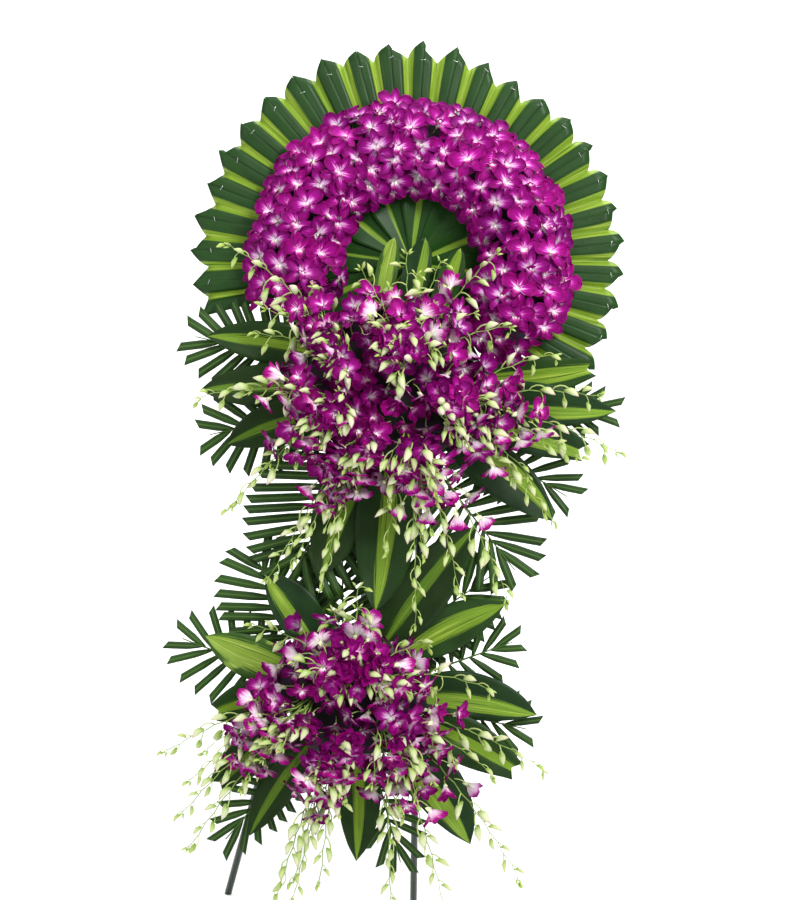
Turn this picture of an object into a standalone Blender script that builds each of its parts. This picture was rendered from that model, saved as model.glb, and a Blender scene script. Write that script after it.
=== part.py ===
"""A two-tier standing funeral wreath on a tripod easel.

A collar of pleated leaves and an open ring of orchids stand over two bunches of
orchid sprays, broad striped leaves and trimmed palm fronds.

Lengths are in metres. X runs to the right, the front faces -Y and Z is up. Everything
is laid out on the easel's own plane first, with heights measured from the floor along
that plane, and is then leaned back about the floor line.
"""

import math
import random

import bmesh
import bpy
from mathutils import Matrix, Vector

# The easel plane
LEAN = math.radians(12.0)
GAP = 0.0003
WREATH_HEIGHT = 1.32
UPPER_HEIGHT = WREATH_HEIGHT - 0.278
LOWER_HEIGHT = WREATH_HEIGHT - 0.864

# The easel's bars
BAR_RADIUS = 0.007
LEG_Y = 0.0416
LEG_FOOT_X = 0.19
LEG_TOP_HEIGHT = 1.45
REAR_FOOT_Y = 0.70
REAR_TOP_HEIGHT = 1.40
CROSSBAR_Y = LEG_Y - 2 * BAR_RADIUS - GAP

# The backing board and the wet foam
BOARD_RADIUS = 0.20
BOARD_FRONT = 0.0283
BOARD_BACK = 0.0343
RING_RADIUS = 0.227
RING_ARC = math.radians(113.0)
RING_OVERHANG = 1.02
RING_FOAM_HALF = 0.030
RING_FOAM_FRONT = -0.015
RING_FOAM_BACK = 0.0169
FOAM_FRONT = -0.070
FOAM_BACK = 0.020
UPPER_FOAM_HALF = (0.090, 0.070)
LOWER_FOAM_HALF = (0.080, 0.060)

# The leaf collar and the rosette in the ring's hole
FAN_TOP_LEAF = 12
FAN_PITCH = math.radians(9.0)
FAN_INNER = 0.195
FAN_NOTCH = 0.405
FAN_SHOULDER = 0.428
FAN_PEAK = 0.436
FAN_BACK = 0.0276
FAN_DEPTH = 0.017
FAN_GROUPS = (("fan_left_low", 0, 6), ("fan_left_high", 6, 12),
              ("fan_right_high", 12, 18), ("fan_right_low", 18, 26))
ROSETTE_LEAVES = 12
ROSETTE_REACH = 0.188

# Leaf blades
BLADE = 0.0008
ARCH = 0.15
FOLD = 0.006
LEAF_LAYERS = (-0.014, -0.025, -0.036, -0.047)
PALM_LAYERS = (0.015, 0.009, 0.003)
LEAF_PROFILE = ((0.0, 0.16), (0.18, 0.62), (0.42, 1.0), (0.68, 0.90), (0.88, 0.50), (1.0, 0.0))
UPRIGHT_PROFILE = ((0.0, 0.50), (0.35, 0.80), (0.62, 1.0), (0.80, 0.92), (0.93, 0.50), (1.0, 0.0))
CUT_PROFILE = ((0.0, 0.16), (0.18, 0.66), (0.42, 1.0), (0.70, 0.96), (1.0, 0.42))

# Flower masses
BLOOM_RADIUS = 0.033
BLOOM_RISE = 0.022
BLOOM_SINK = 0.008
RING_CORE_RADIUS = 0.066
RING_CORE_Y = -0.005
RING_CORE_BACK = 0.013
RING_ROWS = ((-78.0, 2), (-39.0, 3), (0.0, 4), (39.0, 5), (78.0, 5))
RING_NODES = ("ring_blooms_left_low", "ring_blooms_left_high",
              "ring_blooms_right_high", "ring_blooms_right_low")
DOME_BACK = -0.0703
DOME_STEPS = ((0.5, 0.0737), (0.78, 0.0517), (1.0, 0.014))

# Sprays
SPRAY_FRONT = -0.203
SPRAY_FALL = 0.055
SPRAY_LAYER = 0.026
POST_RADIUS = 0.005
STEM_RADIUS = 0.0017
BUD_SPACING = 0.030


class Cluster:
    """One bunch of the two: its middle, its foam and the flower mass before it."""

    def __init__(self, height, foam_half, half_width, drop, rise, pinch, blooms):
        self.height = height
        self.foam_half = foam_half
        self.half_width = half_width
        self.drop = drop
        self.rise = rise
        self.pinch = pinch
        self.blooms = blooms

    def outline(self, angle, q):
        """Point of the flower mass at an angle and at the share q of its reach."""
        across = self.half_width * math.cos(angle)
        up = math.sin(angle)
        if up > 0:
            across *= 1 - self.pinch * up
        return (q * across, self.height + q * up * (self.rise if up > 0 else self.drop))

    def share(self, x, z):
        """How far out a point lies, as a share of the mass's reach."""
        up = z - self.height
        return math.hypot(x / self.half_width, up / (self.rise if up > 0 else self.drop))


UPPER = Cluster(UPPER_HEIGHT, UPPER_FOAM_HALF, 0.220, 0.170, 0.200, 0.25, 37)
LOWER = Cluster(LOWER_HEIGHT, LOWER_FOAM_HALF, 0.170, 0.185, 0.130, 0.10, 28)

# Broad leaves: bunch, tip across, tip above the wreath's centre, width, layer, bow, cut end,
# and how far above the foam's middle the leaf points back to
BROAD_LEAVES = {
    "upper_leaf_1": (UPPER, -0.380, -0.205, 0.086, 0, -0.010, False, 0.060),
    "upper_leaf_2": (UPPER, -0.378, -0.313, 0.088, 1, -0.010, False, 0.015),
    "upper_leaf_3": (UPPER, -0.311, -0.413, 0.088, 2, -0.015, False, 0.0),
    "upper_leaf_4": (UPPER, 0.026, -0.699, 0.122, 3, 0.010, False, 0.0),
    "upper_leaf_5": (UPPER, 0.347, -0.472, 0.095, 3, 0.015, False, 0.0),
    "upper_leaf_6": (UPPER, 0.394, -0.330, 0.088, 2, 0.012, True, 0.0),
    "upper_leaf_7": (UPPER, 0.443, -0.240, 0.090, 1, 0.0, False, 0.010),
    "upper_leaf_8": (UPPER, 0.390, -0.160, 0.080, 0, -0.010, True, 0.030),
    "upper_leaf_9": (UPPER, -0.088, -0.645, 0.115, 2, -0.010, False, 0.0),
    "lower_leaf_1": (LOWER, -0.199, -0.656, 0.088, 2, 0.012, False, 0.0),
    "lower_leaf_2": (LOWER, -0.300, -0.793, 0.085, 1, 0.008, False, 0.0),
    "lower_leaf_3": (LOWER, -0.262, -0.941, 0.085, 2, -0.010, True, 0.0),
    "lower_leaf_4": (LOWER, -0.236, -1.083, 0.080, 3, -0.015, True, 0.0),
    "lower_leaf_5": (LOWER, -0.159, -1.175, 0.075, 0, -0.010, False, 0.0),
    "lower_leaf_6": (LOWER, 0.058, -1.193, 0.085, 1, 0.010, False, 0.0),
    "lower_leaf_7": (LOWER, 0.276, -1.126, 0.105, 2, 0.020, False, 0.0),
    "lower_leaf_8": (LOWER, 0.348, -0.970, 0.090, 3, 0.010, True, 0.0),
    "lower_leaf_9": (LOWER, 0.373, -0.858, 0.095, 0, 0.020, False, 0.0),
    "lower_leaf_10": (LOWER, 0.279, -0.649, 0.090, 1, 0.010, False, 0.015),
    "lower_leaf_11": (LOWER, 0.200, -0.503, 0.108, 2, 0.008, False, 0.0),
}

# Upright leaves: root across, tip across, tip above the wreath's centre, width
UPRIGHT_LEAVES = {
    "upright_leaf_left": (-0.050, -0.038, 0.039, 0.044),
    "upright_leaf_middle": (0.005, 0.022, 0.047, 0.050),
    "upright_leaf_right": (0.056, 0.094, 0.036, 0.046),
}

# Palm fronds, two to a root: bunch, side of the foam, then for each frond its tip across, its
# tip above the wreath's centre, its half width, how far its root is off the middle, its layer
PALM_PAIRS = {
    "upper_palms_left": (UPPER, "left", ((-0.418, -0.207, 0.066, 0.045, 0),
                                         (-0.360, -0.402, 0.085, -0.020, 1))),
    "upper_palms_right": (UPPER, "right", ((0.448, -0.240, 0.060, 0.015, 0),
                                           (0.385, -0.426, 0.080, -0.020, 1))),
    "upper_palms_below": (UPPER, "below", ((-0.150, -0.670, 0.125, -0.050, 2),
                                           (0.300, -0.590, 0.090, 0.050, 2))),
    "lower_palms_left": (LOWER, "left", ((-0.238, -0.605, 0.112, 0.020, 1),
                                         (-0.359, -0.806, 0.095, -0.010, 0))),
    "lower_palms_above": (LOWER, "above", ((0.250, -0.590, 0.070, 0.025, 0),
                                           (-0.060, -0.560, 0.070, -0.025, 0))),
    "lower_palms_right": (LOWER, "right", ((0.315, -0.719, 0.075, 0.020, 1),
                                           (0.370, -0.893, 0.080, -0.010, 0))),
    "lower_palms_below": (LOWER, "below", ((-0.213, -1.203, 0.065, -0.030, 1),
                                           (0.151, -1.202, 0.070, 0.030, 0))),
}

# Spray bunches: bunch, depth layer, post across and above the bunch's middle, tips
SPRAYS = {
    "upper_sprays_left_high": (UPPER, 0, (-0.070, 0.045), (
        (-0.349, -0.031), (-0.261, -0.142), (-0.268, -0.191), (-0.175, -0.085))),
    "upper_sprays_left": (UPPER, 1, (-0.085, -0.020), (
        (-0.362, -0.325), (-0.265, -0.300), (-0.274, -0.525), (-0.215, -0.430))),
    "upper_sprays_below_left": (UPPER, 0, (-0.035, -0.060), (
        (-0.185, -0.654), (-0.140, -0.610), (-0.085, -0.646), (-0.090, -0.500))),
    "upper_sprays_below_right": (UPPER, 1, (0.040, -0.055), (
        (0.107, -0.702), (0.181, -0.627), (0.274, -0.626), (0.030, -0.560))),
    "upper_sprays_right": (UPPER, 0, (0.085, -0.010), (
        (0.340, -0.467), (0.367, -0.340), (0.443, -0.319), (0.394, -0.219), (0.250, -0.400))),
    "upper_sprays_above": (UPPER, 1, (0.020, 0.060), (
        (0.160, 0.023), (-0.010, -0.001), (0.056, -0.008), (-0.090, -0.045))),
    "lower_sprays_left": (LOWER, 0, (-0.060, -0.010), (
        (-0.334, -1.014), (-0.281, -1.063), (-0.287, -1.127), (-0.266, -1.194))),
    "lower_sprays_below": (LOWER, 1, (-0.015, -0.055), (
        (-0.090, -1.289), (-0.052, -1.253), (-0.007, -1.216), (0.014, -1.080))),
    "lower_sprays_right": (LOWER, 0, (0.060, -0.020), (
        (0.136, -1.257), (0.239, -1.242), (0.373, -1.163), (0.390, -0.949))),
    "lower_sprays_above": (LOWER, 1, (0.005, 0.045), (
        (0.265, -0.807), (-0.200, -0.749), (-0.053, -0.702), (-0.014, -0.650), (0.130, -0.735))),
}

# Finishes: colour, roughness, metallic
PAINTED_STEEL = ("painted steel", (0.030, 0.045, 0.030), 0.45, 0.0)
PLYWOOD = ("plywood", (0.36, 0.24, 0.13), 0.75, 0.0)
FOAM = ("floral foam", (0.05, 0.16, 0.07), 0.95, 0.0)
COLLAR_LEAF = ("collar leaf", (0.055, 0.190, 0.045), 0.42, 0.0)
STRIPED_LEAF = ("striped leaf", (0.075, 0.220, 0.040), 0.42, 0.0)
PALM_LEAF = ("palm leaf", (0.020, 0.085, 0.025), 0.50, 0.0)
ORCHID = ("orchid petal", (0.370, 0.008, 0.270), 0.55, 0.0)
BUD_GREEN = ("bud green", (0.560, 0.680, 0.260), 0.50, 0.0)


def clear_scene():
    """Remove whatever the scene holds at the start."""
    for item in list(bpy.data.objects):
        bpy.data.objects.remove(item, do_unlink=True)


def finish_material(finish):
    """Return the Principled material of a finish, making it once."""
    label, colour, roughness, metallic = finish
    material = bpy.data.materials.get(label)
    if material is None:
        material = bpy.data.materials.new(label)
        material.use_nodes = True
        shader = material.node_tree.nodes["Principled BSDF"]
        shader.inputs["Base Color"].default_value = (*colour, 1.0)
        shader.inputs["Roughness"].default_value = roughness
        shader.inputs["Metallic"].default_value = metallic
    return material


def solid(name, points, faces, finish):
    """Make one closed object from points and faces, with its faces turned outwards."""
    mesh = bpy.data.meshes.new(name)
    mesh.from_pydata([tuple(p) for p in points], [], faces)
    work = bmesh.new()
    work.from_mesh(mesh)
    bmesh.ops.recalc_face_normals(work, faces=work.faces)
    bmesh.ops.triangulate(work, faces=work.faces)
    work.to_mesh(mesh)
    work.free()
    mesh.materials.append(finish_material(finish))
    item = bpy.data.objects.new(name, mesh)
    bpy.context.scene.collection.objects.link(item)
    return item


def keep_largest(item):
    """Drop every loose scrap but the largest body of a fused mesh."""
    work = bmesh.new()
    work.from_mesh(item.data)
    left = set(work.verts)
    bodies = []
    while left:
        front = [left.pop()]
        body = set(front)
        while front:
            here = front.pop()
            for edge in here.link_edges:
                other = edge.other_vert(here)
                if other in left:
                    left.remove(other)
                    body.add(other)
                    front.append(other)
        bodies.append(body)
    bodies.sort(key=len)
    scraps = [vert for body in bodies[:-1] for vert in body]
    bmesh.ops.delete(work, geom=scraps, context="VERTS")
    bmesh.ops.triangulate(work, faces=work.faces)
    work.to_mesh(item.data)
    work.free()


def fuse(base, others):
    """Join others into base with one Boolean union, then remove them."""
    group = bpy.data.collections.new("repeats")
    bpy.context.scene.collection.children.link(group)
    for other in others:
        bpy.context.scene.collection.objects.unlink(other)
        group.objects.link(other)
    union = base.modifiers.new("union", "BOOLEAN")
    union.operation = "UNION"
    union.operand_type = "COLLECTION"
    union.collection = group
    union.solver = "MANIFOLD"
    graph = bpy.context.evaluated_depsgraph_get()
    joined = bpy.data.meshes.new_from_object(base.evaluated_get(graph))
    base.modifiers.clear()
    base.data = joined
    for other in others:
        bpy.data.objects.remove(other, do_unlink=True)
    bpy.data.collections.remove(group)
    keep_largest(base)
    return base


def thick_sheet(name, points, triangles, finish, thickness=BLADE):
    """Give a sheet of triangles a thickness along Y, with both faces split alike."""
    count = len(points)
    half = Vector((0, thickness / 2, 0))
    both = [Vector(p) - half for p in points] + [Vector(p) + half for p in points]
    faces = [tuple(t) for t in triangles]
    faces += [tuple(i + count for i in reversed(t)) for t in triangles]
    uses = {}
    for t in triangles:
        for a, b in ((t[0], t[1]), (t[1], t[2]), (t[2], t[0])):
            key = (min(a, b), max(a, b))
            uses[key] = None if key in uses else (a, b)
    for edge in uses.values():
        if edge is not None:
            a, b = edge
            faces.append((b, a, a + count))
            faces.append((b, a + count, b + count))
    return solid(name, both, faces, finish)


def grid_triangles(widths):
    """Triangles between rows of points; a row of one point closes to a tip."""
    triangles = []
    start = 0
    for here, after in zip(widths, widths[1:]):
        following = start + here
        for i in range(here - 1):
            a, b = start + i, start + i + 1
            if after == 1:
                triangles.append((a, b, following))
            else:
                triangles.append((a, b, following + i + 1))
                triangles.append((a, following + i + 1, following + i))
        start = following
    return triangles


def block(name, low, high, finish):
    """A plain box between two corners."""
    corners = [(x, y, z) for x in (low[0], high[0]) for y in (low[1], high[1])
               for z in (low[2], high[2])]
    faces = [(0, 1, 3, 2), (4, 6, 7, 5), (0, 4, 5, 1), (2, 3, 7, 6), (0, 2, 6, 4), (1, 5, 7, 3)]
    return solid(name, corners, faces, finish)


def bar(name, start, end, finish, start_plane=None, end_plane=None, end_width=1.0):
    """A round bar, its ends square or cut by a plane of (point, normal), one pressed wide."""
    sides = 8
    axis = (end - start).normalized()
    side = axis.cross(Vector((0, 1, 0))).normalized()
    back = side.cross(axis).normalized()
    points = []
    for centre, plane, width in ((start, start_plane, 1.0), (end, end_plane, end_width)):
        for i in range(sides):
            turn = 2 * math.pi * i / sides
            p = centre + BAR_RADIUS * (side * math.sin(turn) * width + back * math.cos(turn))
            if plane is not None:
                p = p + axis * ((plane[0] - p).dot(plane[1]) / axis.dot(plane[1]))
            points.append(p)
    faces = [(i, (i + 1) % sides, sides + (i + 1) % sides, sides + i) for i in range(sides)]
    faces += [tuple(range(sides)), tuple(range(sides, 2 * sides))]
    return solid(name, points, faces, finish)


def leaned(point):
    """Where a point of the easel's plane stands in the world."""
    return Matrix.Rotation(-LEAN, 3, "X") @ Vector(point)


def lean_back(items):
    """Lean finished objects back about the floor line."""
    turn = Matrix.Rotation(-LEAN, 4, "X")
    for item in items:
        item.data.transform(turn)


def leg_spread(height):
    """How far a front leg is from the middle at a height."""
    top = BAR_RADIUS + GAP / 2
    return LEG_FOOT_X + (top - LEG_FOOT_X) * height / LEG_TOP_HEIGHT


def build_easel():
    """The tripod's two front legs, its rear leg and its two crossbars."""
    floor = (Vector((0, 0, 0)), Vector((0, 0, 1)))
    for name, sign in (("left_leg", -1), ("right_leg", 1)):
        foot = leaned((sign * leg_spread(0), LEG_Y, 0))
        top = leaned((sign * leg_spread(LEG_TOP_HEIGHT), LEG_Y, LEG_TOP_HEIGHT))
        bar(name, foot, top, PAINTED_STEEL, start_plane=floor)
    behind = LEG_Y + BAR_RADIUS + GAP
    rest = (leaned((0, behind, 0)), leaned((0, 1, 0)))
    head = leaned((0, behind, REAR_TOP_HEIGHT))
    bar("rear_leg", Vector((0, REAR_FOOT_Y, 0)), head, PAINTED_STEEL,
        start_plane=floor, end_plane=rest, end_width=2.4)
    bars = []
    for name, height, overhang in (("upper_crossbar", UPPER_HEIGHT, 0.050),
                                   ("lower_crossbar", LOWER_HEIGHT, 0.025)):
        reach = leg_spread(height) + overhang
        bars.append(bar(name, Vector((-reach, CROSSBAR_Y, height)),
                        Vector((reach, CROSSBAR_Y, height)), PAINTED_STEEL))
    return bars


def build_board():
    """The round plywood board that carries the collar and the ring."""
    sides = 24
    points = []
    for y in (BOARD_FRONT, BOARD_BACK):
        for i in range(sides):
            turn = 2 * math.pi * i / sides
            points.append((BOARD_RADIUS * math.sin(turn), y,
                           WREATH_HEIGHT + BOARD_RADIUS * math.cos(turn)))
    faces = [(i, (i + 1) % sides, sides + (i + 1) % sides, sides + i) for i in range(sides)]
    faces += [tuple(range(sides)), tuple(range(sides, 2 * sides))]
    return solid("backing_board", points, faces, PLYWOOD)


def on_ring(angle, out, y):
    """A point of the ring's arc: angle from the top, reach from the centre, depth."""
    return Vector((out * math.sin(angle), y, WREATH_HEIGHT + out * math.cos(angle)))


def arc_sweep(name, section, start, end, steps, finish):
    """Sweep a closed section of (reach, depth) points along the ring's arc."""
    count = len(section)
    points = []
    for step in range(steps + 1):
        angle = start + (end - start) * step / steps
        points += [on_ring(angle, RING_RADIUS + out, y) for out, y in section]
    faces = []
    for step in range(steps):
        a, b = step * count, (step + 1) * count
        for i in range(count):
            j = (i + 1) % count
            faces.append((a + i, a + j, b + j, b + i))
    faces += [tuple(range(count)), tuple(range(steps * count, (steps + 1) * count))]
    return solid(name, points, faces, finish)


def build_foams():
    """The ring's foam and a foam brick for each bunch."""
    h = RING_FOAM_HALF
    section = [(-h, RING_FOAM_FRONT), (h, RING_FOAM_FRONT), (h, RING_FOAM_BACK), (-h, RING_FOAM_BACK)]
    made = [arc_sweep("ring_foam", section, -RING_ARC, RING_ARC, 16, FOAM)]
    for name, cluster in (("upper_foam", UPPER), ("lower_foam", LOWER)):
        half_x, half_z = cluster.foam_half
        made.append(block(name, (-half_x, FOAM_FRONT, cluster.height - half_z),
                          (half_x, FOAM_BACK, cluster.height + half_z), FOAM))
    return made


def fan_column(turn, reach, crest):
    """Inner and outer point of one pleat line; crest is 0 in a valley and 1 on a peak."""
    inner = FAN_BACK - crest * FAN_DEPTH * FAN_INNER / FAN_PEAK
    outer = FAN_BACK - crest * FAN_DEPTH
    return [on_ring(turn, FAN_INNER, inner), on_ring(turn, reach, outer)]


def build_fan():
    """The collar: pleated leaves, notched at the stripe, in four stapled groups."""
    made = []
    trim = math.radians(0.05)
    for name, first, last in FAN_GROUPS:
        columns = []
        for k in range(first, last):
            middle = (k - FAN_TOP_LEAF) * FAN_PITCH
            steps = [(-0.25, FAN_SHOULDER, 0.5), (0.0, FAN_NOTCH, 0.0), (0.25, FAN_SHOULDER, 0.5),
                     (0.5, FAN_PEAK, 1.0)]
            if k == first:
                steps.insert(0, (-0.5, FAN_PEAK, 1.0))
            for share, reach, crest in steps:
                turn = middle + share * FAN_PITCH
                if k == first and share == -0.5:
                    turn += trim
                if k == last - 1 and share == 0.5:
                    turn -= trim
                columns.append(fan_column(turn, reach, crest))
        points = [p for column in columns for p in column]
        made.append(thick_sheet(name, points, grid_triangles([2] * len(columns)), COLLAR_LEAF))
    return made


def build_rosette():
    """Twelve leaves that meet in the ring's hole, lapped like a pinwheel."""
    back = BOARD_FRONT - GAP - BLADE / 2
    points = [Vector((0, back - 0.001, WREATH_HEIGHT))]
    for k in range(ROSETTE_LEAVES):
        turn = 2 * math.pi * k / ROSETTE_LEAVES
        half = math.pi / ROSETTE_LEAVES
        points.append(on_ring(turn - half, 0.030, back - 0.003))
    count = len(points)
    triangles = [(0, 1 + k, 1 + (k + 1) % ROSETTE_LEAVES) for k in range(ROSETTE_LEAVES)]
    for k in range(ROSETTE_LEAVES):
        turn = 2 * math.pi * k / ROSETTE_LEAVES
        a, b = 1 + k, 1 + (k + 1) % ROSETTE_LEAVES
        left, middle, right, tip = count, count + 1, count + 2, count + 3
        spread = math.radians(17.5)
        points.append(on_ring(turn - spread, 0.105, back - 0.0105))
        points.append(on_ring(turn, 0.105, back - 0.003))
        points.append(on_ring(turn + spread, 0.105, back - 0.0045))
        points.append(on_ring(turn, ROSETTE_REACH, back))
        count += 4
        triangles += [(a, middle, left), (a, b, middle), (b, right, middle),
                      (left, middle, tip), (middle, right, tip)]
    return thick_sheet("rosette_leaves", points, triangles, COLLAR_LEAF)


def blade_rows(root, tip, width, bow, profile, depth, fold):
    """Left, middle and right points of a leaf blade at each station of its profile."""
    run = Vector((tip[0] - root[0], 0, tip[1] - root[1]))
    side = Vector((-run.z, 0, run.x)).normalized()
    rows = []
    for share, spread in profile:
        middle = Vector((root[0], 0, root[1])) + run * share + side * bow * 4 * share * (1 - share)
        if spread == 0.0:
            middle.y = depth(middle.x, middle.z)
            rows.append([middle])
            continue
        lean = run.normalized() + side * bow * 4 * (1 - 2 * share) / run.length
        across = side if share == 0.0 else Vector((-lean.z, 0, lean.x)).normalized()
        reach = spread * width / 2
        left, right = middle - across * reach, middle + across * reach
        if share == 1.0:
            middle = middle - run * 0.05
        for p in (left, right):
            p.y = depth(p.x, p.z)
        middle.y = depth(middle.x, middle.z) + fold * spread
        rows.append([left, middle, right])
    return rows


def build_blade(name, rows, finish):
    """A leaf blade from its rows."""
    points = [p for row in rows for p in row]
    return thick_sheet(name, points, grid_triangles([len(row) for row in rows]), finish)


def bunch_surface(cluster, layer):
    """The forward arch that all foliage of a bunch follows, moved to a layer."""
    def depth(x, z):
        return layer - ARCH * (x * x + (z - cluster.height) ** 2)
    return depth


def root_on_foam(cluster, tip, half_width, aim):
    """Where a leaf that points at tip leaves the foam, its cut end just clear of it."""
    run = Vector((tip[0], tip[1] - cluster.height - aim)).normalized()
    side = Vector((-run.y, run.x)) * half_width
    half_x, half_z = cluster.foam_half
    near, far = 0.0, 0.3
    while far - near > 1e-6:
        middle = (near + far) / 2
        gaps = []
        for k in range(-4, 5):
            spot = run * middle + side * k / 4
            gaps.append(math.hypot(max(0.0, abs(spot.x) - half_x),
                                   max(0.0, abs(spot.y + aim) - half_z)))
        if min(gaps) < GAP:
            near = middle
        else:
            far = middle
    return (run.x * far, cluster.height + aim + run.y * far)


def build_leaves():
    """The broad striped leaves round both bunches and the upright ones in the hole."""
    made = []
    for name, (cluster, x, up, width, layer, bow, cut, aim) in BROAD_LEAVES.items():
        profile = CUT_PROFILE if cut else LEAF_PROFILE
        tip = (x, WREATH_HEIGHT + up)
        root = root_on_foam(cluster, tip, profile[0][1] * width / 2, aim)
        rows = blade_rows(root, tip, width, bow, profile,
                          bunch_surface(cluster, LEAF_LAYERS[layer]), FOLD)
        made.append(build_blade(name, rows, STRIPED_LEAF))
    base = UPPER_HEIGHT + UPPER_FOAM_HALF[1] + GAP
    for name, (root_x, tip_x, up, width) in UPRIGHT_LEAVES.items():
        tip = (tip_x, WREATH_HEIGHT + up)
        rows = blade_rows((root_x, base), tip, width, 0.004, UPRIGHT_PROFILE,
                          lambda x, z: -0.030 - 0.10 * (z - base), FOLD)
        for p in rows[0]:
            p.z = base
        made.append(build_blade(name, rows, STRIPED_LEAF))
    return made


def frond_sheet(name, root, tip, half_width, depth):
    """A trimmed palm frond: blunt leaflets cut to the rib inside an oval outline."""
    run = Vector((tip[0] - root[0], 0, tip[1] - root[1]))
    along = run.normalized()
    side = Vector((-along.z, 0, along.x))
    length = run.length
    pairs = 6
    start = 0.16 * length
    pitch = (length * 0.93 - start) / pairs
    leaflet = 0.60 * pitch
    rib = 0.0028
    stations = [0.0]
    for k in range(pairs):
        stations += [start + k * pitch, start + k * pitch + leaflet]
    origin = Vector((root[0], 0, root[1]))
    points = []
    for s in stations:
        points += [origin + along * s - side * rib, origin + along * s + side * rib]
    triangles = grid_triangles([2] * len(stations))
    middle, reach = 0.56 * length, 0.50 * length
    for k in range(pairs):
        here = (1 + 2 * k) * 2
        angle = math.radians(68.0 - 48.0 * k / (pairs - 1))
        for sign, offset in ((-1, 0), (1, 1)):
            way = along * math.cos(angle) + side * sign * math.sin(angle)
            base = origin + along * (stations[1 + 2 * k] + leaflet / 2) + side * sign * rib
            out = oval_reach(base - origin, way, along, side, middle, reach, half_width)
            a, b = here + offset, here + 2 + offset
            flare = 1.12
            count = len(points)
            points.append(points[a] + way * out - along * leaflet * (flare - 1) / 2)
            points.append(points[b] + way * out * 0.97 + along * leaflet * (flare - 1) / 2)
            triangles += [(a, b, count + 1), (a, count + 1, count)]
    for p in points:
        lift = 0.03 * abs((p - origin).dot(side))
        p.y = depth(p.x, p.z) - lift
    return thick_sheet(name, points, triangles, PALM_LEAF)


def oval_reach(base, way, along, side, middle, reach, half_width):
    """Length of a leaflet from its base to the frond's oval outline."""
    px, py = (base.dot(along) - middle) / reach, base.dot(side) / half_width
    dx, dy = way.dot(along) / reach, way.dot(side) / half_width
    a, b, c = dx * dx + dy * dy, px * dx + py * dy, px * px + py * py - 1
    return max(0.03, (-b + math.sqrt(max(0.0, b * b - a * c))) / a)


def build_palms():
    """Pairs of fronds, each pair fused in a short root beside its foam."""
    made = []
    for name, (cluster, face, fronds) in PALM_PAIRS.items():
        half_x, half_z = cluster.foam_half
        deep, high, low = 0.012, 0.018, 0.0
        if face in ("left", "right"):
            sign = -1 if face == "left" else 1
            offsets = [f[3] for f in fronds]
            near, far = sign * (half_x + GAP), sign * (half_x + GAP + deep)
            ends = (cluster.height + min(offsets) - 0.010, cluster.height + max(offsets) + 0.010)
            stub = block(name, (min(near, far), low, ends[0]), (max(near, far), high, ends[1]),
                         PALM_LEAF)
            roots = [(sign * (half_x + GAP + 0.005), cluster.height + f[3]) for f in fronds]
        else:
            sign = -1 if face == "below" else 1
            offsets = [f[3] for f in fronds]
            near = cluster.height + sign * (half_z + GAP)
            far = near + sign * deep
            stub = block(name, (min(offsets) - 0.010, low, min(near, far)),
                         (max(offsets) + 0.010, high, max(near, far)), PALM_LEAF)
            roots = [(f[3], near + sign * 0.005) for f in fronds]
        sheets = []
        for root, (x, up, half_width, _, layer) in zip(roots, fronds):
            sheets.append(frond_sheet(name + "_frond", root, (x, WREATH_HEIGHT + up), half_width,
                                      bunch_surface(cluster, PALM_LAYERS[layer])))
        made.append(fuse(stub, sheets))
    return made


def star_bloom(centre, normal, radius, roll, sink):
    """An open orchid: five sepals and petals round a raised lip, on a sunk stalk."""
    normal = normal.normalized()
    up = Vector((0, 0, 1)) - normal * normal.z
    if up.length < 0.2:
        up = Vector((1, 0, 0)) - normal * normal.x
    up.normalize()
    side = up.cross(normal)
    points = []
    for i in range(10):
        turn = roll + math.pi * i / 5
        reach = radius * (1.0 if i % 2 == 0 else 0.58)
        rise = radius * (0.20 if i % 2 == 0 else -0.06)
        points.append(centre + (up * math.cos(turn) + side * math.sin(turn)) * reach + normal * rise)
    points.append(centre - normal * radius * 0.16)
    points.append(centre - normal * sink)
    faces = [(i, (i + 1) % 10, 10) for i in range(10)] + [(i, (i + 1) % 10, 11) for i in range(10)]
    return solid("bloom", points, faces, ORCHID)


def plan_ring_blooms():
    """Places of the ring's blooms: node, centre, normal, radius, roll."""
    dice = random.Random(11)
    plan = []
    arc = 2 * RING_ARC / len(RING_NODES)
    out = RING_CORE_RADIUS + BLOOM_RISE
    for part, node in enumerate(RING_NODES):
        start = -RING_ARC + part * arc
        for row, (degrees, count) in enumerate(RING_ROWS):
            tube = math.radians(degrees)
            shift = 0.25 if row % 2 else -0.25
            for k in range(count):
                step = (k + 0.5 + shift + dice.uniform(-0.08, 0.08)) / count
                angle = (start + arc * step) * RING_OVERHANG
                reach = RING_RADIUS + out * math.sin(tube)
                centre = on_ring(angle, reach, RING_CORE_Y - out * math.cos(tube))
                face = 0.82 * tube + math.radians(dice.uniform(-8, 8))
                outward = on_ring(angle, 1.0, 0.0) - on_ring(angle, 0.0, 0.0)
                normal = outward * math.sin(face) + Vector((0, -math.cos(face), 0))
                plan.append([node, centre, normal, BLOOM_RADIUS, dice.uniform(-0.5, 0.5)])
    return plan


def dome_front(q):
    """Depth of the flower mass's front at the share q of its reach."""
    before = (0.0, DOME_STEPS[0][1])
    for step in DOME_STEPS:
        if q <= step[0]:
            mix = (q - before[0]) / (step[0] - before[0])
            return DOME_BACK - (before[1] + (step[1] - before[1]) * mix)
        before = step
    return DOME_BACK - DOME_STEPS[-1][1]


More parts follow.
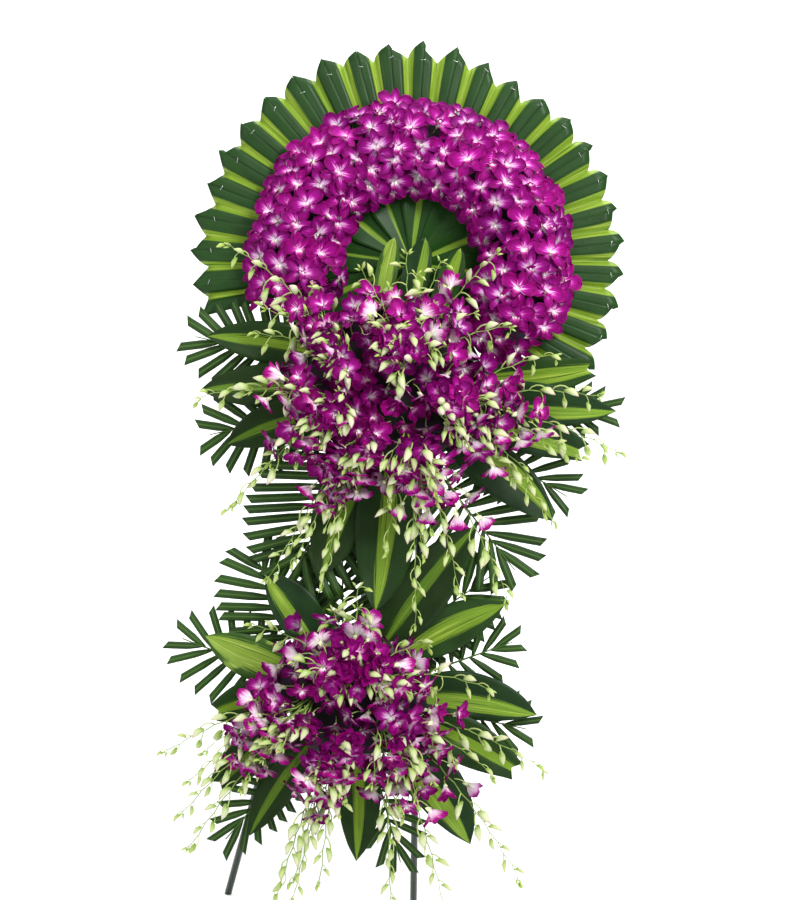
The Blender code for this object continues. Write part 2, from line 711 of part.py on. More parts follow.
def plan_dome_blooms(node, cluster, seed):
    """Places of a bunch's blooms: node, centre, normal, radius, roll."""
    dice = random.Random(seed)
    plan = []
    golden = math.pi * (3 - math.sqrt(5))
    for k in range(cluster.blooms):
        q = 0.95 * math.sqrt((k + 0.5) / cluster.blooms)
        angle = k * golden + dice.uniform(-0.12, 0.12)
        x, z = cluster.outline(angle, q)
        tilt = math.radians(50) * q ** 1.5
        away = Vector((math.cos(angle), 0, math.sin(angle)))
        normal = away * math.sin(tilt) + Vector((0, -math.cos(tilt), 0))
        centre = Vector((x, dome_front(q), z)) + normal * BLOOM_RISE
        nod = Vector((dice.uniform(-0.25, 0.25), 0, dice.uniform(-0.25, 0.25))) * (1 - 0.6 * q)
        plan.append([node, centre, (normal + nod).normalized(), BLOOM_RADIUS,
                     dice.uniform(-0.6, 0.6)])
    return plan


def part_blooms(plan):
    """Shrink blooms that would meet one of another node or a spray's post."""
    posts = []
    for cluster, _, (across, above), _ in SPRAYS.values():
        posts.append((across, cluster.height + above))
    for one in plan:
        for other in plan:
            if one[0] < other[0]:
                apart = (one[1] - other[1]).length - 0.001
                if one[3] + other[3] > apart:
                    share = apart / (one[3] + other[3])
                    one[3] *= share
                    other[3] *= share
        if one[1].y < -0.10:
            for x, z in posts:
                apart = math.hypot(one[1].x - x, one[1].z - z) - POST_RADIUS - 0.001
                one[3] = min(one[3], apart)
    return [bloom for bloom in plan if bloom[3] > 0.017]


def ring_core(node, part):
    """The stalks' bed round the ring's foam, open at the back."""
    arc = 2 * RING_ARC / len(RING_NODES)
    trim = GAP / 2 / (RING_RADIUS - RING_CORE_RADIUS)
    start = -RING_ARC + part * arc + (trim if part else 0.0)
    end = -RING_ARC + (part + 1) * arc - (trim if part + 1 < len(RING_NODES) else 0.0)
    inner = RING_FOAM_HALF + 0.0005
    front = RING_FOAM_FRONT - GAP
    section = [(inner, RING_CORE_BACK), (inner, front), (-inner, front), (-inner, RING_CORE_BACK)]
    for degrees in (-105, -63, -21, 21, 63, 105):
        tube = math.radians(degrees)
        section.append((RING_CORE_RADIUS * math.sin(tube),
                        min(RING_CORE_BACK, RING_CORE_Y - RING_CORE_RADIUS * math.cos(tube))))
    return arc_sweep(node, section, start, end, 4, ORCHID)


def dome_core(node, cluster):
    """The stalks' bed of a bunch: flat behind, flat in the middle of its front."""
    sides = 16
    rings = [(1.0, DOME_BACK)] + [(q, DOME_BACK - depth) for q, depth in reversed(DOME_STEPS)]
    points = []
    for q, y in rings:
        for i in range(sides):
            x, z = cluster.outline(2 * math.pi * i / sides, q)
            points.append((x, y, z))
    faces = []
    for ring in range(len(rings) - 1):
        a, b = ring * sides, (ring + 1) * sides
        for i in range(sides):
            j = (i + 1) % sides
            faces.append((a + i, a + j, b + j, b + i))
    faces += [tuple(range(sides)), tuple(range(3 * sides, 4 * sides))]
    return solid(node, points, faces, ORCHID)


def build_flowers():
    """Every flower mass: its core with the blooms standing out of it."""
    plan = plan_ring_blooms()
    plan += plan_dome_blooms("upper_blooms", UPPER, 21)
    plan += plan_dome_blooms("lower_blooms", LOWER, 22)
    plan = part_blooms(plan)
    cores = {node: ring_core(node, part) for part, node in enumerate(RING_NODES)}
    cores["upper_blooms"] = dome_core("upper_blooms", UPPER)
    cores["lower_blooms"] = dome_core("lower_blooms", LOWER)
    made = []
    for node, core in cores.items():
        blooms = []
        for owner, centre, normal, radius, roll in plan:
            if owner == node:
                blooms.append(star_bloom(centre, normal, radius, roll, BLOOM_RISE + BLOOM_SINK))
        made.append(fuse(core, blooms))
    return made


def spray_path(cluster, layer, start, tip, count):
    """Stations of a stem that rises from its post, arches over and hangs."""
    ends = Vector((start[0], 0, start[1])), Vector((tip[0], 0, tip[1]))
    length = (ends[1] - ends[0]).length
    crest = ends[0].lerp(ends[1], 0.5) + Vector((0, 0, 0.14 * length))
    path = []
    for i in range(count):
        t = i / (count - 1)
        p = ends[0] * (1 - t) ** 2 + crest * 2 * t * (1 - t) + ends[1] * t * t
        q = min(cluster.share(p.x, p.z) ** 2, 1.3)
        p.y = SPRAY_FRONT + SPRAY_FALL * q - SPRAY_LAYER * layer
        path.append(p)
    return path


def spray(path, dice):
    """A three-sided stem with a bud on alternate sides at each station and one at its end."""
    points, faces = [], []
    frames = []
    last = len(path) - 1
    for i, centre in enumerate(path):
        tangent = (path[min(i + 1, last)] - path[max(i - 1, 0)]).normalized()
        forward = (Vector((0, -1, 0)) + tangent * tangent.y).normalized()
        across = tangent.cross(forward)
        frames.append((tangent, forward, across))
        radius = STEM_RADIUS * (1.0 - 0.35 * i / last)
        for degrees in (90, 210, 330):
            turn = math.radians(degrees)
            points.append(centre + (across * math.cos(turn) + forward * math.sin(turn)) * radius)
    faces.append((0, 1, 2))
    for i in range(last):
        budding = (i % 2) * 2 if i > 1 else None
        for s in range(3):
            a, b = i * 3 + s, i * 3 + (s + 1) % 3
            c, d = b + 3, a + 3
            if s != budding:
                faces += [(a, b, c), (a, c, d)]
                continue
            low, high = (points[a] + points[b]) / 2, (points[c] + points[d]) / 2
            m = len(points)
            points.append(low + (high - low).normalized() * 0.005)
            faces += [(b, c, m), (m, c, d), (a, m, d)]
            normal = (points[b] - points[a]).cross(points[m] - points[a]).normalized()
            centre = (points[a] + points[b] + points[m]) / 3
            if normal.dot(centre - path[i]) < 0:
                normal.negate()
            size = 0.031 - 0.013 * i / last + dice.uniform(-0.002, 0.002)
            way = (normal * 0.75 + frames[i][0] * 0.70 + Vector((0, 0, -0.25))).normalized()
            add_bud(points, faces, (a, b, m), way, size)
    end = [last * 3, last * 3 + 1, last * 3 + 2]
    add_bud(points, faces, end, frames[-1][0], 0.018)
    return solid("spray", points, faces, BUD_GREEN)


def add_bud(points, faces, base, way, size):
    """Grow a teardrop bud from a triangle of the stem."""
    centre = sum((points[i] for i in base), Vector()) / 3
    belly = centre + way * size * 0.56
    first = len(points)
    for i in base:
        out = points[i] - centre
        out = (out - way * out.dot(way)).normalized()
        points.append(belly + out * size * 0.22)
    tip = len(points)
    points.append(centre + way * size)
    for k in range(3):
        a, b = base[k], base[(k + 1) % 3]
        c, d = first + (k + 1) % 3, first + k
        faces.extend([(a, b, c), (a, c, d), (d, c, tip)])


def build_sprays():
    """Bunches of orchid sprays, each bunch on a short post before the flower mass."""
    made = []
    for number, (name, (cluster, layer, (across, above), tips)) in enumerate(SPRAYS.items()):
        dice = random.Random(40 + number)
        foot = (across, cluster.height + above)
        share = min(cluster.share(*foot) ** 2, 1.3)
        top = SPRAY_FRONT + SPRAY_FALL * share - SPRAY_LAYER * layer
        back = DOME_BACK - DOME_STEPS[0][1] - GAP
        points = []
        for y in (back, top - 0.006):
            for i in range(6):
                turn = math.pi * i / 3
                points.append((foot[0] + POST_RADIUS * math.cos(turn), y,
                               foot[1] + POST_RADIUS * math.sin(turn)))
        sides = [(i, (i + 1) % 6, 6 + (i + 1) % 6, 6 + i) for i in range(6)]
        post = solid(name, points, sides + [tuple(range(6)), tuple(range(6, 12))], BUD_GREEN)
        stems = []
        for x, up in tips:
            tip = (x, WREATH_HEIGHT + up)
            length = math.hypot(tip[0] - foot[0], tip[1] - foot[1])
            count = max(4, min(9, int(length / BUD_SPACING)))
            stems.append(spray(spray_path(cluster, layer, foot, tip, count), dice))
        made.append(fuse(post, stems))
    return made


def centre_on_floor():
    """Put the middle of the whole wreath's bounds over the origin."""
    items = [item for item in bpy.data.objects if item.type == "MESH"]
    spots = [v.co for item in items for v in item.data.vertices]
    shift = Vector((-(min(p.x for p in spots) + max(p.x for p in spots)) / 2,
                    -(min(p.y for p in spots) + max(p.y for p in spots)) / 2, 0))
    for item in items:
        item.data.transform(Matrix.Translation(shift))


def main():
    """Build every piece of the wreath."""
    clear_scene()
    on_plane = build_easel()
    on_plane.append(build_board())
    on_plane += build_foams()
    on_plane += build_fan()
    on_plane.append(build_rosette())
    on_plane += build_leaves()
    on_plane += build_palms()
    on_plane += build_flowers()
    on_plane += build_sprays()
    lean_back(on_plane)
    centre_on_floor()


main()
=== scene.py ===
"""Looks of a two-tier standing funeral wreath of orchids, striped leaves and palm.

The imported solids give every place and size. Each one is replaced by a finer piece of the
same form, laid out on the easel's own plane and then leaned back with it. Lengths are in
metres. X runs to the right, the front faces -Y and Z is up.
"""

import logging
import math
import random
from collections.abc import Callable, Iterator, Sequence
from dataclasses import dataclass, field
from enum import Enum

import bmesh
import bpy
from bmesh.types import BMEdge, BMesh, BMFace, BMVert
from bpy.types import Material, Mesh, NodeSocket, Object
from mathutils import Matrix, Vector


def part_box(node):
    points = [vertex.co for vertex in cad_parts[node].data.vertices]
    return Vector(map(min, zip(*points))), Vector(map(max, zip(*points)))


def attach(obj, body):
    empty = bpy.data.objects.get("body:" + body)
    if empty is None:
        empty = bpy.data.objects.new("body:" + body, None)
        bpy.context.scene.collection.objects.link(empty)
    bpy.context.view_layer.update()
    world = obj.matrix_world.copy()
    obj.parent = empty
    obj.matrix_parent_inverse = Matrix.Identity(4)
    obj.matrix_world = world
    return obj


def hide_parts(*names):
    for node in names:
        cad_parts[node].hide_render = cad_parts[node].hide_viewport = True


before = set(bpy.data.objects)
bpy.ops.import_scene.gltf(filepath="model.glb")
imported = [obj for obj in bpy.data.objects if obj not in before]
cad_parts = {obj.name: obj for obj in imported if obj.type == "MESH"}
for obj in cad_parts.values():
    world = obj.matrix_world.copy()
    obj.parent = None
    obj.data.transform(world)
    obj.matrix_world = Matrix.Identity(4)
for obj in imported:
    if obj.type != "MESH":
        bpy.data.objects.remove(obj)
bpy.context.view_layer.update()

LOG = logging.getLogger("wreath")
GRAIN = "grain"  # the map that a finish reads across and along a blade
TONE = "tone"  # the value, 0 to 1, that a finish varies by
DEPTH = Callable[[float, float], float]
FORWARD = Vector((0, -1, 0))
UPWARD = Vector((0, 0, 1))


# Colours and nodes


def linear(code: str) -> tuple[float, float, float, float]:
    """Turn an sRGB hex value to linear red, green, blue and alpha.

    Args:
        code: Six hex digits, such as "a9d14c".

    Returns:
        The four linear channels.
    """
    channels = [int(code[i:i + 2], 16) / 255 for i in (0, 2, 4)]
    red, green, blue = (c / 12.92 if c <= 0.04045 else ((c + 0.055) / 1.055) ** 2.4
                        for c in channels)
    return red, green, blue, 1.0


class Recipe:
    """The nodes of a material or of the world, added one by one."""

    def __init__(self, owner: Material | bpy.types.World) -> None:
        """Clear the owner's nodes.

        Args:
            owner: The material or the world.
        """
        self.owner = owner
        owner.use_nodes = True
        owner.node_tree.nodes.clear()

    def add(self, kind: str, inputs: dict | None = None, output: int | str = 0,
            stops: Sequence[tuple[float, str]] = (), **settings: object) -> NodeSocket | None:
        """Add a node with its settings and links.

        Args:
            kind: The node's type name, without the word ShaderNode.
            inputs: Values or sockets by the input's name or number.
            output: The output that is wanted.
            stops: Places and hex colours of a colour ramp.
            **settings: The node's own settings.

        Returns:
            The wanted output.
        """
        tree = self.owner.node_tree
        node = tree.nodes.new("ShaderNode" + kind)
        for name, value in settings.items():
            setattr(node, name, value)
        for key, value in (inputs or {}).items():
            if isinstance(value, NodeSocket):
                tree.links.new(value, node.inputs[key])
            else:
                node.inputs[key].default_value = value
        for number, (place, code) in enumerate(stops):
            ramp = node.color_ramp.elements
            stop = ramp[number] if number < len(ramp) else ramp.new(place)
            stop.position = place
            stop.color = linear(code)
        return node.outputs[output] if node.outputs else None

    def calc(self, operation: str, *values: NodeSocket | float) -> NodeSocket:
        """Work one sum out."""
        return self.add("Math", dict(enumerate(values)), operation=operation)

    def between(self, value: NodeSocket, start: float, stop: float, low: float = 0.0,
                high: float = 1.0, smooth: bool = False) -> NodeSocket:
        """Map a value from a start and stop to a low and high, held at both ends."""
        span = {"Value": value, "From Min": start, "From Max": stop, "To Min": low,
                "To Max": high}
        return self.add("MapRange", span, interpolation_type="SMOOTHSTEP" if smooth else "LINEAR")

    def noise(self, place: NodeSocket, scale: float, detail: float = 2.0,
              rough: float = 0.5) -> NodeSocket:
        """Cloudy grain."""
        return self.add("TexNoise", {"Vector": place, "Scale": scale, "Detail": detail,
                                     "Roughness": rough})

    def ramp(self, value: NodeSocket, *stops: tuple[float, str]) -> NodeSocket:
        """Colour by a value."""
        return self.add("ValToRGB", {0: value}, stops=stops)

    def mix(self, share: NodeSocket, *colours: NodeSocket | str) -> NodeSocket:
        """Mix two colours, each an output or a hex value."""
        first, second = (linear(c) if isinstance(c, str) else c for c in colours)
        return self.add("Mix", {0: share, 6: first, 7: second}, output=2, data_type="RGBA")

    def tiles(self, tile: NodeSocket, colour: NodeSocket,
              layers: Sequence[tuple[Enum, NodeSocket | str]]) -> NodeSocket:
        """Lay other colours over the tiles that have their own.

        Args:
            tile: The tile's number.
            colour: The colour of the first tile.
            layers: The other tiles and their colours.

        Returns:
            The colour of all.
        """
        for part, paint in layers:
            colour = self.mix(self.calc("COMPARE", tile, part.value, 0.1), colour, paint)
        return colour

    def grain(self) -> tuple[NodeSocket, NodeSocket, NodeSocket]:
        """The grain map's two values and the tone."""
        parts = self.add("SeparateXYZ", {0: self.add("UVMap", uv_map=GRAIN)}).node.outputs
        return parts[0], parts[1], self.add("Attribute", output="Fac", attribute_name=TONE)

    def veins(self, across: NodeSocket, along: NodeSocket, seed: NodeSocket, fine: float,
              coarse: float) -> NodeSocket:
        """The place on a blade, drawn out lengthwise and moved by a seed."""
        return self.add("CombineXYZ", {0: self.calc("MULTIPLY", across, fine),
                                       1: self.calc("MULTIPLY", along, coarse), 2: seed})

    def place(self) -> NodeSocket:
        """The place on the object."""
        return self.add("TexCoord", output="Object")

    def close(self, colour: NodeSocket, roughness: NodeSocket | float,
              relief: tuple[NodeSocket, float, float], shader: dict) -> Material:
        """Add the relief, the shader and the output.

        Args:
            colour: The base colour.
            roughness: The roughness.
            relief: The relief's height, strength and distance.
            shader: The shader's other inputs.

        Returns:
            The material.
        """
        bump = self.add("Bump", dict(zip(("Height", "Strength", "Distance"), relief)))
        surface = self.add("BsdfPrincipled", {"Base Color": colour, "Roughness": roughness,
                                              "Normal": bump, **shader})
        self.add("OutputMaterial", {"Surface": surface})
        return self.owner


# Meshes


def eased(share: float) -> float:
    """0 to 1 with a soft start and a soft end."""
    return share * share * (3 - 2 * share)


def axes(*three: Vector) -> Matrix:
    """The turn from the world's three axes to three others."""
    return Matrix(three).transposed().to_4x4()


def heading(path: Sequence[Vector], i: int) -> Vector:
    """Where a path runs to at one of its points."""
    return (path[min(i + 1, len(path) - 1)] - path[max(i - 1, 0)]).normalized()


def everything(bm: BMesh) -> list:
    """A mesh's points, edges and faces."""
    return [*bm.verts, *bm.edges, *bm.faces]


def move(bm: BMesh, where: Matrix) -> BMesh:
    """Move a mesh and give it back."""
    bmesh.ops.transform(bm, matrix=where, verts=bm.verts)
    return bm


def ease(bm: BMesh, edges: Sequence[BMEdge], offset: float, segments: int = 2) -> BMesh:
    """Round some edges of a mesh and give it back."""
    bmesh.ops.bevel(bm, geom=edges, offset=offset, segments=segments, profile=0.5,
                    affect="EDGES", material=-1)
    return bm


def rod(radius: float, length: float, sides: int, easing: float) -> BMesh:
    """A round bar along Z with eased ends.

    Args:
        radius: Its radius.
        length: Its length.
        sides: Sides of its section.
        easing: How much its ends are eased.

    Returns:
        The closed bar, centred.
    """
    bm = bmesh.new()
    bmesh.ops.create_cone(bm, cap_ends=True, segments=sides, radius1=radius, radius2=radius,
                          depth=length)
    caps = [edge for face in bm.faces if len(face.verts) > 4 for edge in face.edges]
    return ease(bm, caps, easing)


def block(where: Matrix, easing: float, segments: int = 2) -> BMesh:
    """A box with eased edges.

    Args:
        where: The place and size of its unit cube.
        easing: How much its edges are eased.
        segments: Faces across each eased edge.

    Returns:
        The closed box.
    """
    bm = bmesh.new()
    bmesh.ops.create_cube(bm, size=1.0)
    return ease(move(bm, where), bm.edges[:], easing, segments)


def cut(bm: BMesh, point: Vector, normal: Vector) -> None:
    """Cut away what lies beyond a plane, along its normal, and close the cut."""
    made = bmesh.ops.bisect_plane(bm, geom=everything(bm), plane_co=point, plane_no=normal,
                                  clear_outer=True)["geom_cut"]
    bmesh.ops.contextual_create(bm, geom=[item for item in made if isinstance(item, BMEdge)])


def paint_grain(bm: BMesh, place: Callable[[BMVert], Sequence[float]]) -> None:
    """Lay the grain map over a mesh from its own points.

    Args:
        bm: The mesh.
        place: Gives the map's two values at a point.
    """
    grain = bm.loops.layers.uv.get(GRAIN) or bm.loops.layers.uv.new(GRAIN)
    for face in bm.faces:
        for loop in face.loops:
            loop[grain].uv = place(loop.vert)


def grid(columns: int, rows: int, place: Callable[[float, float], Vector]) -> BMesh:
    """Bend a flat grid into a blade.

    Args:
        columns: Faces across.
        rows: Faces along.
        place: Gives the point at -1 to 1 across and 0 to 1 along.

    Returns:
        The blade, with its grain map laid across and along.
    """
    bm = bmesh.new()
    bm.loops.layers.uv.new(GRAIN)
    bmesh.ops.create_grid(bm, x_segments=columns, y_segments=rows, size=1.0, calc_uvs=True)
    for vert in bm.verts:
        vert.co = place(vert.co.x, (vert.co.y + 1) / 2)
    return bm


def tube(stations: Sequence[Vector], radii: Sequence[float], sides: int, tile: float) -> BMesh:
    """Draw a round section along a path.

    Args:
        stations: Points of the path.
        radii: Radius at each point.
        sides: Sides of the section.
        tile: Which tile of the grain map the tube takes.

    Returns:
        The closed tube.
    """
    bm = bmesh.new()
    ring = bmesh.ops.create_circle(bm, cap_ends=True, radius=1.0, segments=sides)["verts"]
    edges = list(bm.edges)
    ahead, turn, before = UPWARD, Matrix.Identity(4), Matrix.Identity(4)
    for i, (station, radius) in enumerate(zip(stations, radii)):
        behind, ahead = ahead, heading(stations, i)
        turn = behind.rotation_difference(ahead).to_matrix().to_4x4() @ turn
        where = Matrix.Translation(station) @ turn @ Matrix.Diagonal((radius, radius, radius, 1))
        if i:
            made = bmesh.ops.extrude_edge_only(bm, edges=edges)["geom"]
            ring = [item for item in made if isinstance(item, BMVert)]
            edges = [edge for edge in bm.edges if all(vert in ring for vert in edge.verts)]
        bmesh.ops.transform(bm, matrix=where @ before.inverted(), verts=ring)
        before = where
    bmesh.ops.contextual_create(bm, geom=edges)
    bmesh.ops.recalc_face_normals(bm, faces=bm.faces)
    bm.verts.index_update()
    paint_grain(bm, lambda vert: (tile + 0.5, vert.index // sides / (len(stations) - 1)))
    return bm


def as_mesh(bm: BMesh, name: str) -> Mesh:
    """Turn a working mesh to a smooth one.

    Args:
        bm: The working mesh, which is freed.
        name: The new mesh's name.

    Returns:
        The new mesh.
    """
    for face in bm.faces:
        face.smooth = True
    mesh = bpy.data.meshes.new(name)
    bm.to_mesh(mesh)
    bm.free()
    return mesh


def as_shape(bm: BMesh, material: int | None = None) -> Mesh:
    """Turn a small mesh to a shape that can be set down many times.

    Args:
        bm: The mesh, which is freed.
        material: Which of the piece's finishes it takes, if not already set.

    Returns:
        The shape, with a tone at its points.
    """
    if TONE not in bm.verts.layers.float:
        bm.verts.layers.float.new(TONE)
    if material is not None:
        for face in bm.faces:
            face.material_index = material
    return as_mesh(bm, "shape")


def as_object(bm: BMesh, name: str, finishes: Sequence[Material]) -> Object:
    """Turn a mesh to an object in the scene.

    Args:
        bm: The mesh, which is freed.
        name: The object's name.
        finishes: Its materials.

    Returns:
        The object, unturned and at the origin.
    """
    mesh = as_mesh(bm, name)
    for finish in finishes:
        mesh.materials.append(finish)
    made = bpy.data.objects.new(name, mesh)
    bpy.context.scene.collection.objects.link(made)
    return made


class Heap:
    """A larger mesh in which many small ones are gathered."""

    def __init__(self) -> None:
        """Start empty."""
        self.bm = bmesh.new()

    def put(self, shape: Mesh, where: Matrix, tone: float) -> None:
        """Set a copy of a shape down.

        Args:
            shape: The shape.
            where: Its place.
            tone: Its tone.
        """
        copy = shape.copy()
        copy.transform(where)
        copy.attributes[TONE].data.foreach_set("value", [tone] * len(copy.vertices))
        self.bm.from_mesh(copy)
        bpy.data.meshes.remove(copy)

    def pour(self, bm: BMesh, tone: float = 0.5, material: int = 0) -> None:
        """Move a small mesh in.

        Args:
            bm: The mesh, which is freed.
            tone: Its tone.
            material: Which of the piece's finishes it takes.
        """
        shape = as_shape(bm, material)
        self.put(shape, Matrix.Identity(4), tone)
        bpy.data.meshes.remove(shape)


@dataclass(frozen=True)
class EaselPlane:
    """The easel's plane, where everything is laid out before it leans back."""

    lean: float = math.radians(12.0)
    wreath_height: float = 1.32
    board_middle: float = 0.0313

    @property
    def matrix(self) -> Matrix:
        """Place of the plane in the world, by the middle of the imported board.

        Returns:
            The matrix.
        """
        low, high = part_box("backing_board")
        turn = Matrix.Rotation(-self.lean, 4, "X")
        board = turn @ Vector((0, self.board_middle, self.wreath_height))
        return Matrix.Translation((low + high) / 2 - board) @ turn

    @property
    def centre(self) -> Vector:
        """The wreath's centre."""
        return Vector((0, 0, self.wreath_height))

    def piece(self, bm: BMesh, name: str, finishes: Sequence[Material], slot: str,
              nodes: Sequence[str], thickness: float = 0.0, upright: bool = False) -> None:
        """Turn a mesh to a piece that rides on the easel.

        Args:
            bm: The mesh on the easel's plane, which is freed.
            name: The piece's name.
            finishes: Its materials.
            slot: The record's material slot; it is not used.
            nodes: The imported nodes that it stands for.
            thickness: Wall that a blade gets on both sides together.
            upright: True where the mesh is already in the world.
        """
        made = as_object(bm if upright else move(bm, self.matrix), name, finishes)
        if thickness:
            wall = made.modifiers.new("wall", "SOLIDIFY")
            wall.thickness = thickness
            wall.offset = 0.0
        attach(made, "root")
        if nodes:
            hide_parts(*nodes)
        LOG.info("%s: %d faces", name, len(made.data.polygons))

    def way(self, angle: float) -> Vector:
        """The direction at an angle from the top."""
        return Vector((math.sin(angle), 0, math.cos(angle)))

    def on_ring(self, angle: float, out: float, y: float) -> Vector:
        """Point at an angle from the top and a reach from the wreath's centre."""
        return Vector((out * math.sin(angle), y, self.wreath_height + out * math.cos(angle)))

    def spin(self, bm: BMesh, start: float, sweep: float, steps: int) -> None:
        """Turn a section to its start and spin it round the wreath's centre.

        Args:
            bm: The section, which becomes the closed arc.
            start: The angle from the top where it starts.
            sweep: The angle that it covers.
            steps: Faces along it.
        """
        bmesh.ops.rotate(bm, verts=bm.verts, cent=self.centre,
                         matrix=Matrix.Rotation(start, 3, "Y"))
        bmesh.ops.spin(bm, geom=everything(bm), cent=self.centre, axis=(0, 1, 0), angle=sweep,
                       steps=steps)
        bmesh.ops.recalc_face_normals(bm, faces=bm.faces)


# Finishes


@dataclass(frozen=True)
class StripedLeaf:
    """Fresh corn-plant leaf: a waxy blade, dark green with a lime band along it.

    It grew with fine veins lengthwise, and water drops stand on its wax. That gives
    the eye a soft sheen, streaked edges to the band and small bright points.
    """

    name: str
    dark: str
    darker: str
    lime: str
    pale: str
    band_half: float
    band_spread: float
    streaks: float
    blade_width: float
    band_middle: float = 0.5
    mottle: float = 0.0
    narrowing: float = 0.25
    vein_pitch: float = 0.0034  # real veins are 1.5 mm apart, drawn coarser to show
    drop_spacing: float = 0.012
    relief: float = 0.3

    def material(self) -> Material:
        """Build the leaf's material.

        Returns:
            The material.
        """
        mix = Recipe(bpy.data.materials.new(self.name))
        across, along, tone = mix.grain()
        seed = mix.calc("MULTIPLY", tone, 37.0)
        streak = mix.noise(mix.veins(across, along, seed, 34.0, 1.6), 1.0, 3.0)
        cloud = mix.noise(mix.veins(across, along, seed, 2.0, 3.0), 1.3)
        away = mix.calc("ABSOLUTE", mix.calc("SUBTRACT", across, self.band_middle))
        ragged = mix.calc("ADD", away, mix.between(streak, 0.3, 0.7, -self.streaks, self.streaks))
        half = mix.between(tone, 0, 1, self.band_half - self.band_spread / 2,
                           self.band_half + self.band_spread / 2)
        taper = mix.between(along, 0, 1, 1.0 - self.narrowing, 1.0 + self.narrowing / 2)
        inside = mix.calc("SUBTRACT", mix.calc("MULTIPLY", half, taper), ragged)
        band = mix.between(inside, -0.020, 0.020, smooth=True)
        patch = mix.between(cloud, 0.50, 0.62, 0.0, self.mottle, True)
        yellow = mix.ramp(streak, (0.30, self.dark), (0.40, self.lime), (0.54, self.lime),
                          (0.66, self.pale))
        colour = mix.mix(mix.calc("MAXIMUM", band, patch),
                         mix.mix(cloud, self.darker, self.dark), yellow)
        veins = 2 * math.pi * self.blade_width / self.vein_pitch
        place = mix.place()
        cells = mix.add("TexVoronoi", {"Vector": place, "Scale": 1 / self.drop_spacing})
        wet = mix.between(mix.noise(place, 9.0, 1.0), 0.52, 0.58)
        drop = mix.calc("MULTIPLY", mix.between(cells, 0.10, 0.19, 1.0, 0.0, True), wet)
        relief = mix.calc("MULTIPLY_ADD", drop, 4.0,
                          mix.calc("SINE", mix.calc("MULTIPLY", across, veins)))
        return mix.close(colour, mix.between(drop, 0, 1, 0.42, 0.06),
                         (relief, self.relief, 0.0004),
                         {"Specular IOR Level": 0.17, "Coat Weight": 0.04,
                          "Coat Roughness": 0.22})


@dataclass(frozen=True)
class PalmLeaf:
    """Trimmed fresh palm: stiff leaflets, dark green, with a paler line along each.

    It grew smooth and slightly waxed, and gives the eye a dull sheen with fine ribs.
    """

    name: str = "fresh palm leaf"
    dark: str = "12290a"
    light: str = "2c4e16"
    line: str = "4a6c28"

    def material(self) -> Material:
        """Build the palm's material.

        Returns:
            The material.
        """
        mix = Recipe(bpy.data.materials.new(self.name))
        across, _, tone = mix.grain()
        away = mix.calc("ABSOLUTE", mix.calc("SUBTRACT", across, 0.5))
        rib = mix.between(away, 0.03, 0.14, 0.7, 0.0, True)
        shade = mix.calc("MULTIPLY_ADD", mix.noise(mix.place(), 24.0, 3.0), 0.5,
                         mix.calc("MULTIPLY", tone, 0.5))
        colour = mix.mix(rib, mix.mix(shade, self.dark, self.light), self.line)
        ribs = mix.calc("SINE", mix.calc("MULTIPLY", across, 44.0))
        return mix.close(colour, 0.44, (ribs, 0.3, 0.0003), {"Specular IOR Level": 0.24})


class PetalTile(Enum):
    """Tiles of an orchid's grain map: which face of which part is painted."""

    FRONT = 0
    BACK = 1
    LIP = 2
    CHIN = 3
    COLUMN = 4


@dataclass(frozen=True)
class OrchidPetal:
    """Dendrobium petal: thin living tissue, magenta with a white star in its middle.

    Its cells scatter light, so it looks soft and a little translucent, with fine veins
    running out from the white. Its back is paler, cream to pink.
    """

    name: str = "orchid petal"
    front: tuple = ((0.0, "f4e6ee"), (0.19, "e7b8e2"), (0.33, "c04aac"), (0.46, "930a7e"),
                    (0.84, "680052"), (1.0, "86066c"))
    back: tuple = ((0.0, "cfd6a6"), (0.20, "ebdfe3"), (0.46, "dba8cf"), (0.66, "9c1080"),
                   (1.0, "700056"))
    lip: tuple = ((0.0, "dfe2a8"), (0.25, "ecc9dd"), (0.45, "b53a98"), (0.75, "6b0654"),
                  (1.0, "8a0f6e"))

    def material(self) -> Material:
        """Build the petal's material.

        Returns:
            The material.
        """
        mix = Recipe(bpy.data.materials.new(self.name))
        side, along, tone = mix.grain()
        tile, across = mix.calc("FLOOR", side), mix.calc("FRACT", side)
        seed = mix.calc("MULTIPLY", tone, 53.0)
        vein = mix.noise(mix.veins(across, along, seed, 13.0, 1.4), 1.0)
        ray = mix.calc("ADD", along, mix.between(vein, 0.3, 0.7, -0.13, 0.13))
        ray = mix.calc("ADD", ray, mix.between(tone, 0, 1, -0.03, 0.13))
        aside = mix.calc("SUBTRACT", across, 0.5)
        star = mix.calc("MULTIPLY_ADD", mix.calc("MULTIPLY", aside, aside), 1.7, ray)
        colour = mix.tiles(tile, mix.ramp(star, *self.front), (
            (PetalTile.BACK, mix.ramp(ray, *self.back)), (PetalTile.LIP, mix.ramp(ray, *self.lip)),
            (PetalTile.CHIN, "dde3b8"), (PetalTile.COLUMN, "f4ecf2")))
        shaded = mix.add("HueSaturation", {
            "Color": colour, "Value": mix.between(tone, 0, 1, 0.64, 1.26),
            "Hue": mix.between(tone, 0, 1, 0.494, 0.512)})
        return mix.close(shaded, 0.55, (vein, 0.25, 0.0006),
                         {"Specular IOR Level": 0.07, "Subsurface Weight": 0.06,
                          "Subsurface Scale": 0.003})


class GreenTile(Enum):
    """Tiles of the green parts' grain map."""

    BUD = 0
    PEDICEL = 1
    STEM = 2


